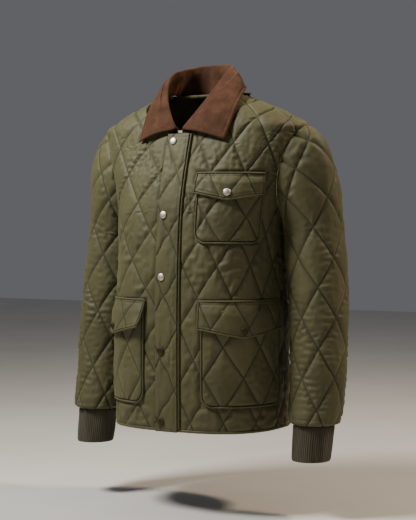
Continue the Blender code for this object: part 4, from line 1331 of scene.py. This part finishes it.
def hem_binding():
    """The binding round the hem, from centre front to centre front."""
    turn_front, _ = fine_panel(False, 80, 2)
    turn_back, _ = fine_panel(True, 70, 2)
    half = np.concatenate([turn_front[0], turn_back[0][-2::-1]])
    turn = np.concatenate([half, -half[-2::-1]])
    edge = body(turn, HEM)
    normal = body_normal(turn, HEM) * [1, 1, 0]
    normal = unit(normal)
    edge[0, 0], edge[-1, 0] = GAP, -GAP
    run = np.concatenate([[0], np.cumsum(np.linalg.norm(np.diff(edge, axis=0), axis=1))])
    wobble = 0.0004 * noise(run / 0.012, 0 * run, 5)
    section = [(0.0003, 0.0008), (0.0009, -0.0008), (0.0007, -0.0035), (-0.0005, -0.0048),
               (-0.003, -0.005), (-0.0055, -0.0048), (-0.0062, -0.003), (-0.0062, 0.0)]
    rings = np.stack([edge + normal * (out + wobble[:, None]) + np.array([0, 0, 1]) * drop
                      for out, drop in section], axis=1)
    rows, columns = rings.shape[:2]
    faces = []
    for k in range(rows - 1):
        near, far = k * columns, (k + 1) * columns
        faces += [(near + i, near + (i + 1) % columns, far + (i + 1) % columns, far + i)
                  for i in range(columns)]
    faces += [tuple(range(columns))[::-1], tuple((rows - 1) * columns + i for i in range(columns))]
    made = mesh_object("hem_trim", rings.reshape(-1, 3), faces, TRIM)
    fix_faces(made)
    length = float(run[-1])
    settle(made, "hem_binding",
           {"flat": (round(length, 3), 0.013), "held": "folded", "area": round(length * 0.0125, 4)})


def placket_trim():
    level = np.linspace(HEM + 0.001, PLACKET_TOP, 220)
    across = np.full_like(level, PLACKET[1] + 2 * GAP + BINDING / 2)
    front_strip("placket_trim", across, level, np.full_like(level, SEAT * 0.3), BINDING, 0.003,
                "placket_binding", seed=9)


def inside_neck():
    """The binding and the hanger loop inside the back neck."""
    for node, half, levels, lean, deep in (
            ("neck_binding", 0.050, (NECK_BACK - 0.005, NECK_BACK - 0.013), 0.0, 0.0062),
            ("hanger_loop", 0.036, (NECK_BACK - 0.0145, NECK_BACK - 0.0205), 0.004, 0.0018)):
        across = np.linspace(-half, half, 41)[None, :]
        sag = 1 - (across / half) ** 2
        down = np.linspace(0, 1, 9)[:, None]
        level = levels[0] + (levels[1] - levels[0]) * down - (0.003 * sag if lean else 0)
        level = level + 0 * across
        turn = turn_at_length(across + 0 * level, level, True)
        normal = body_normal(turn, level)
        away = QUILT + deep + lean * sag + 0 * level
        form = body(turn, level) - normal * away[..., None]
        made = two_sided(node + "_cloth", form, normal, np.full(form.shape[:2], 0.0007), TRIM)
        settle(made, node,
               {"flat": (2 * half, 0.010), "held": "stretched",
                "area": round(grid_area(form) * 1.1, 5)})


def stage_and_camera():
    floor = mesh_object("floor", np.array([[-6, -6, FLOOR], [6, -6, FLOOR], [6, 6, FLOOR],
                                           [-6, 6, FLOOR]]), [(0, 1, 2, 3)], floor_look())
    yaw, pitch = math.radians(CAMERA_TURN), math.radians(CAMERA_RISE)
    back = np.array([math.sin(yaw) * math.cos(pitch), -math.cos(yaw) * math.cos(pitch),
                     math.sin(pitch)])
    place = np.array([0, 0, LOOK_LEVEL]) + back * CAMERA_AWAY
    right = np.array([math.cos(yaw), math.sin(yaw), 0])
    aim = np.array([0, 0, LOOK_LEVEL - 0.0105]) + right * 0.005
    camera = bpy.data.cameras.new("camera")
    camera.lens = LENS
    holder = bpy.data.objects.new("camera", camera)
    bpy.context.collection.objects.link(holder)
    holder.location = place
    from mathutils import Vector
    holder.rotation_euler = Vector(aim - place).to_track_quat("-Z", "Y").to_euler()
    bpy.context.scene.camera = holder


def floor_look():
    made = Finish("floor_look", 0.8)
    made.link(made.ramp(made.noise(3, 3), (0.3, srgb(206, 203, 198)), (0.7, srgb(214, 211, 206))),
              made.shader.inputs["Base Color"])
    return made.material


def soft_light(name, turn, rise, away, size, power, colour=(1, 1, 1), look=(0, 0, -0.35)):
    from mathutils import Vector
    lamp = bpy.data.lights.new(name, "AREA")
    lamp.energy = power
    lamp.size = size
    lamp.color = colour
    holder = bpy.data.objects.new(name, lamp)
    bpy.context.collection.objects.link(holder)
    t, r = math.radians(turn), math.radians(rise)
    offset = Vector((math.sin(t) * math.cos(r), -math.cos(t) * math.cos(r), math.sin(r))) * away
    holder.location = Vector(look) + offset
    holder.rotation_euler = (-offset).to_track_quat("-Z", "Y").to_euler()


def lights():
    world = bpy.data.worlds.new("studio")
    bpy.context.scene.world = world
    world.use_nodes = True
    world.node_tree.nodes["Background"].inputs["Color"].default_value = (0.9, 0.92, 1.0, 1)
    world.node_tree.nodes["Background"].inputs["Strength"].default_value = 0.135
    soft_light("key", -38, 44, 1.5, 0.5, 58, (1.0, 0.98, 0.92), (-0.06, -0.1, 0.02))
    soft_light("fill", 60, 10, 3.2, 1.6, 1.5, (1.0, 0.96, 0.9))
    soft_light("rim", 120, 46, 2.4, 0.4, 48, (1.0, 0.82, 0.60))


CAMERA_TURN = 30.0      # degrees from straight ahead, toward the wearer's left
CAMERA_RISE = 1.39
CAMERA_AWAY = 2.935
LOOK_LEVEL = -0.34
LENS = 96.9
FLOOR = -0.86


def main():
    for side in (1, -1):
        front_panel(side)
        sleeve(side)
        cuff(side)
    back_panel()
    collar()
    placket()
    placket_trim()
    for name, spec in POCKETS.items():
        pocket(name, spec)
        flap(name, spec)
    for number, level in enumerate(SNAP_LEVELS, start=1):
        # the three upper placket snaps are lit nickel, the two lower ones nickel darkened with
        # painted shade
        snap(f"placket_cap_{number}", SNAP_ACROSS, level, SEAT + PLACKET_WALL + 2 * GAP,
             number <= 3, f"placket_snap_{number}")
    hem_binding()
    inside_neck()
    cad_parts["zip_end"].material_slots[0].material = NICKEL
    stage_and_camera()
    lights()


main()
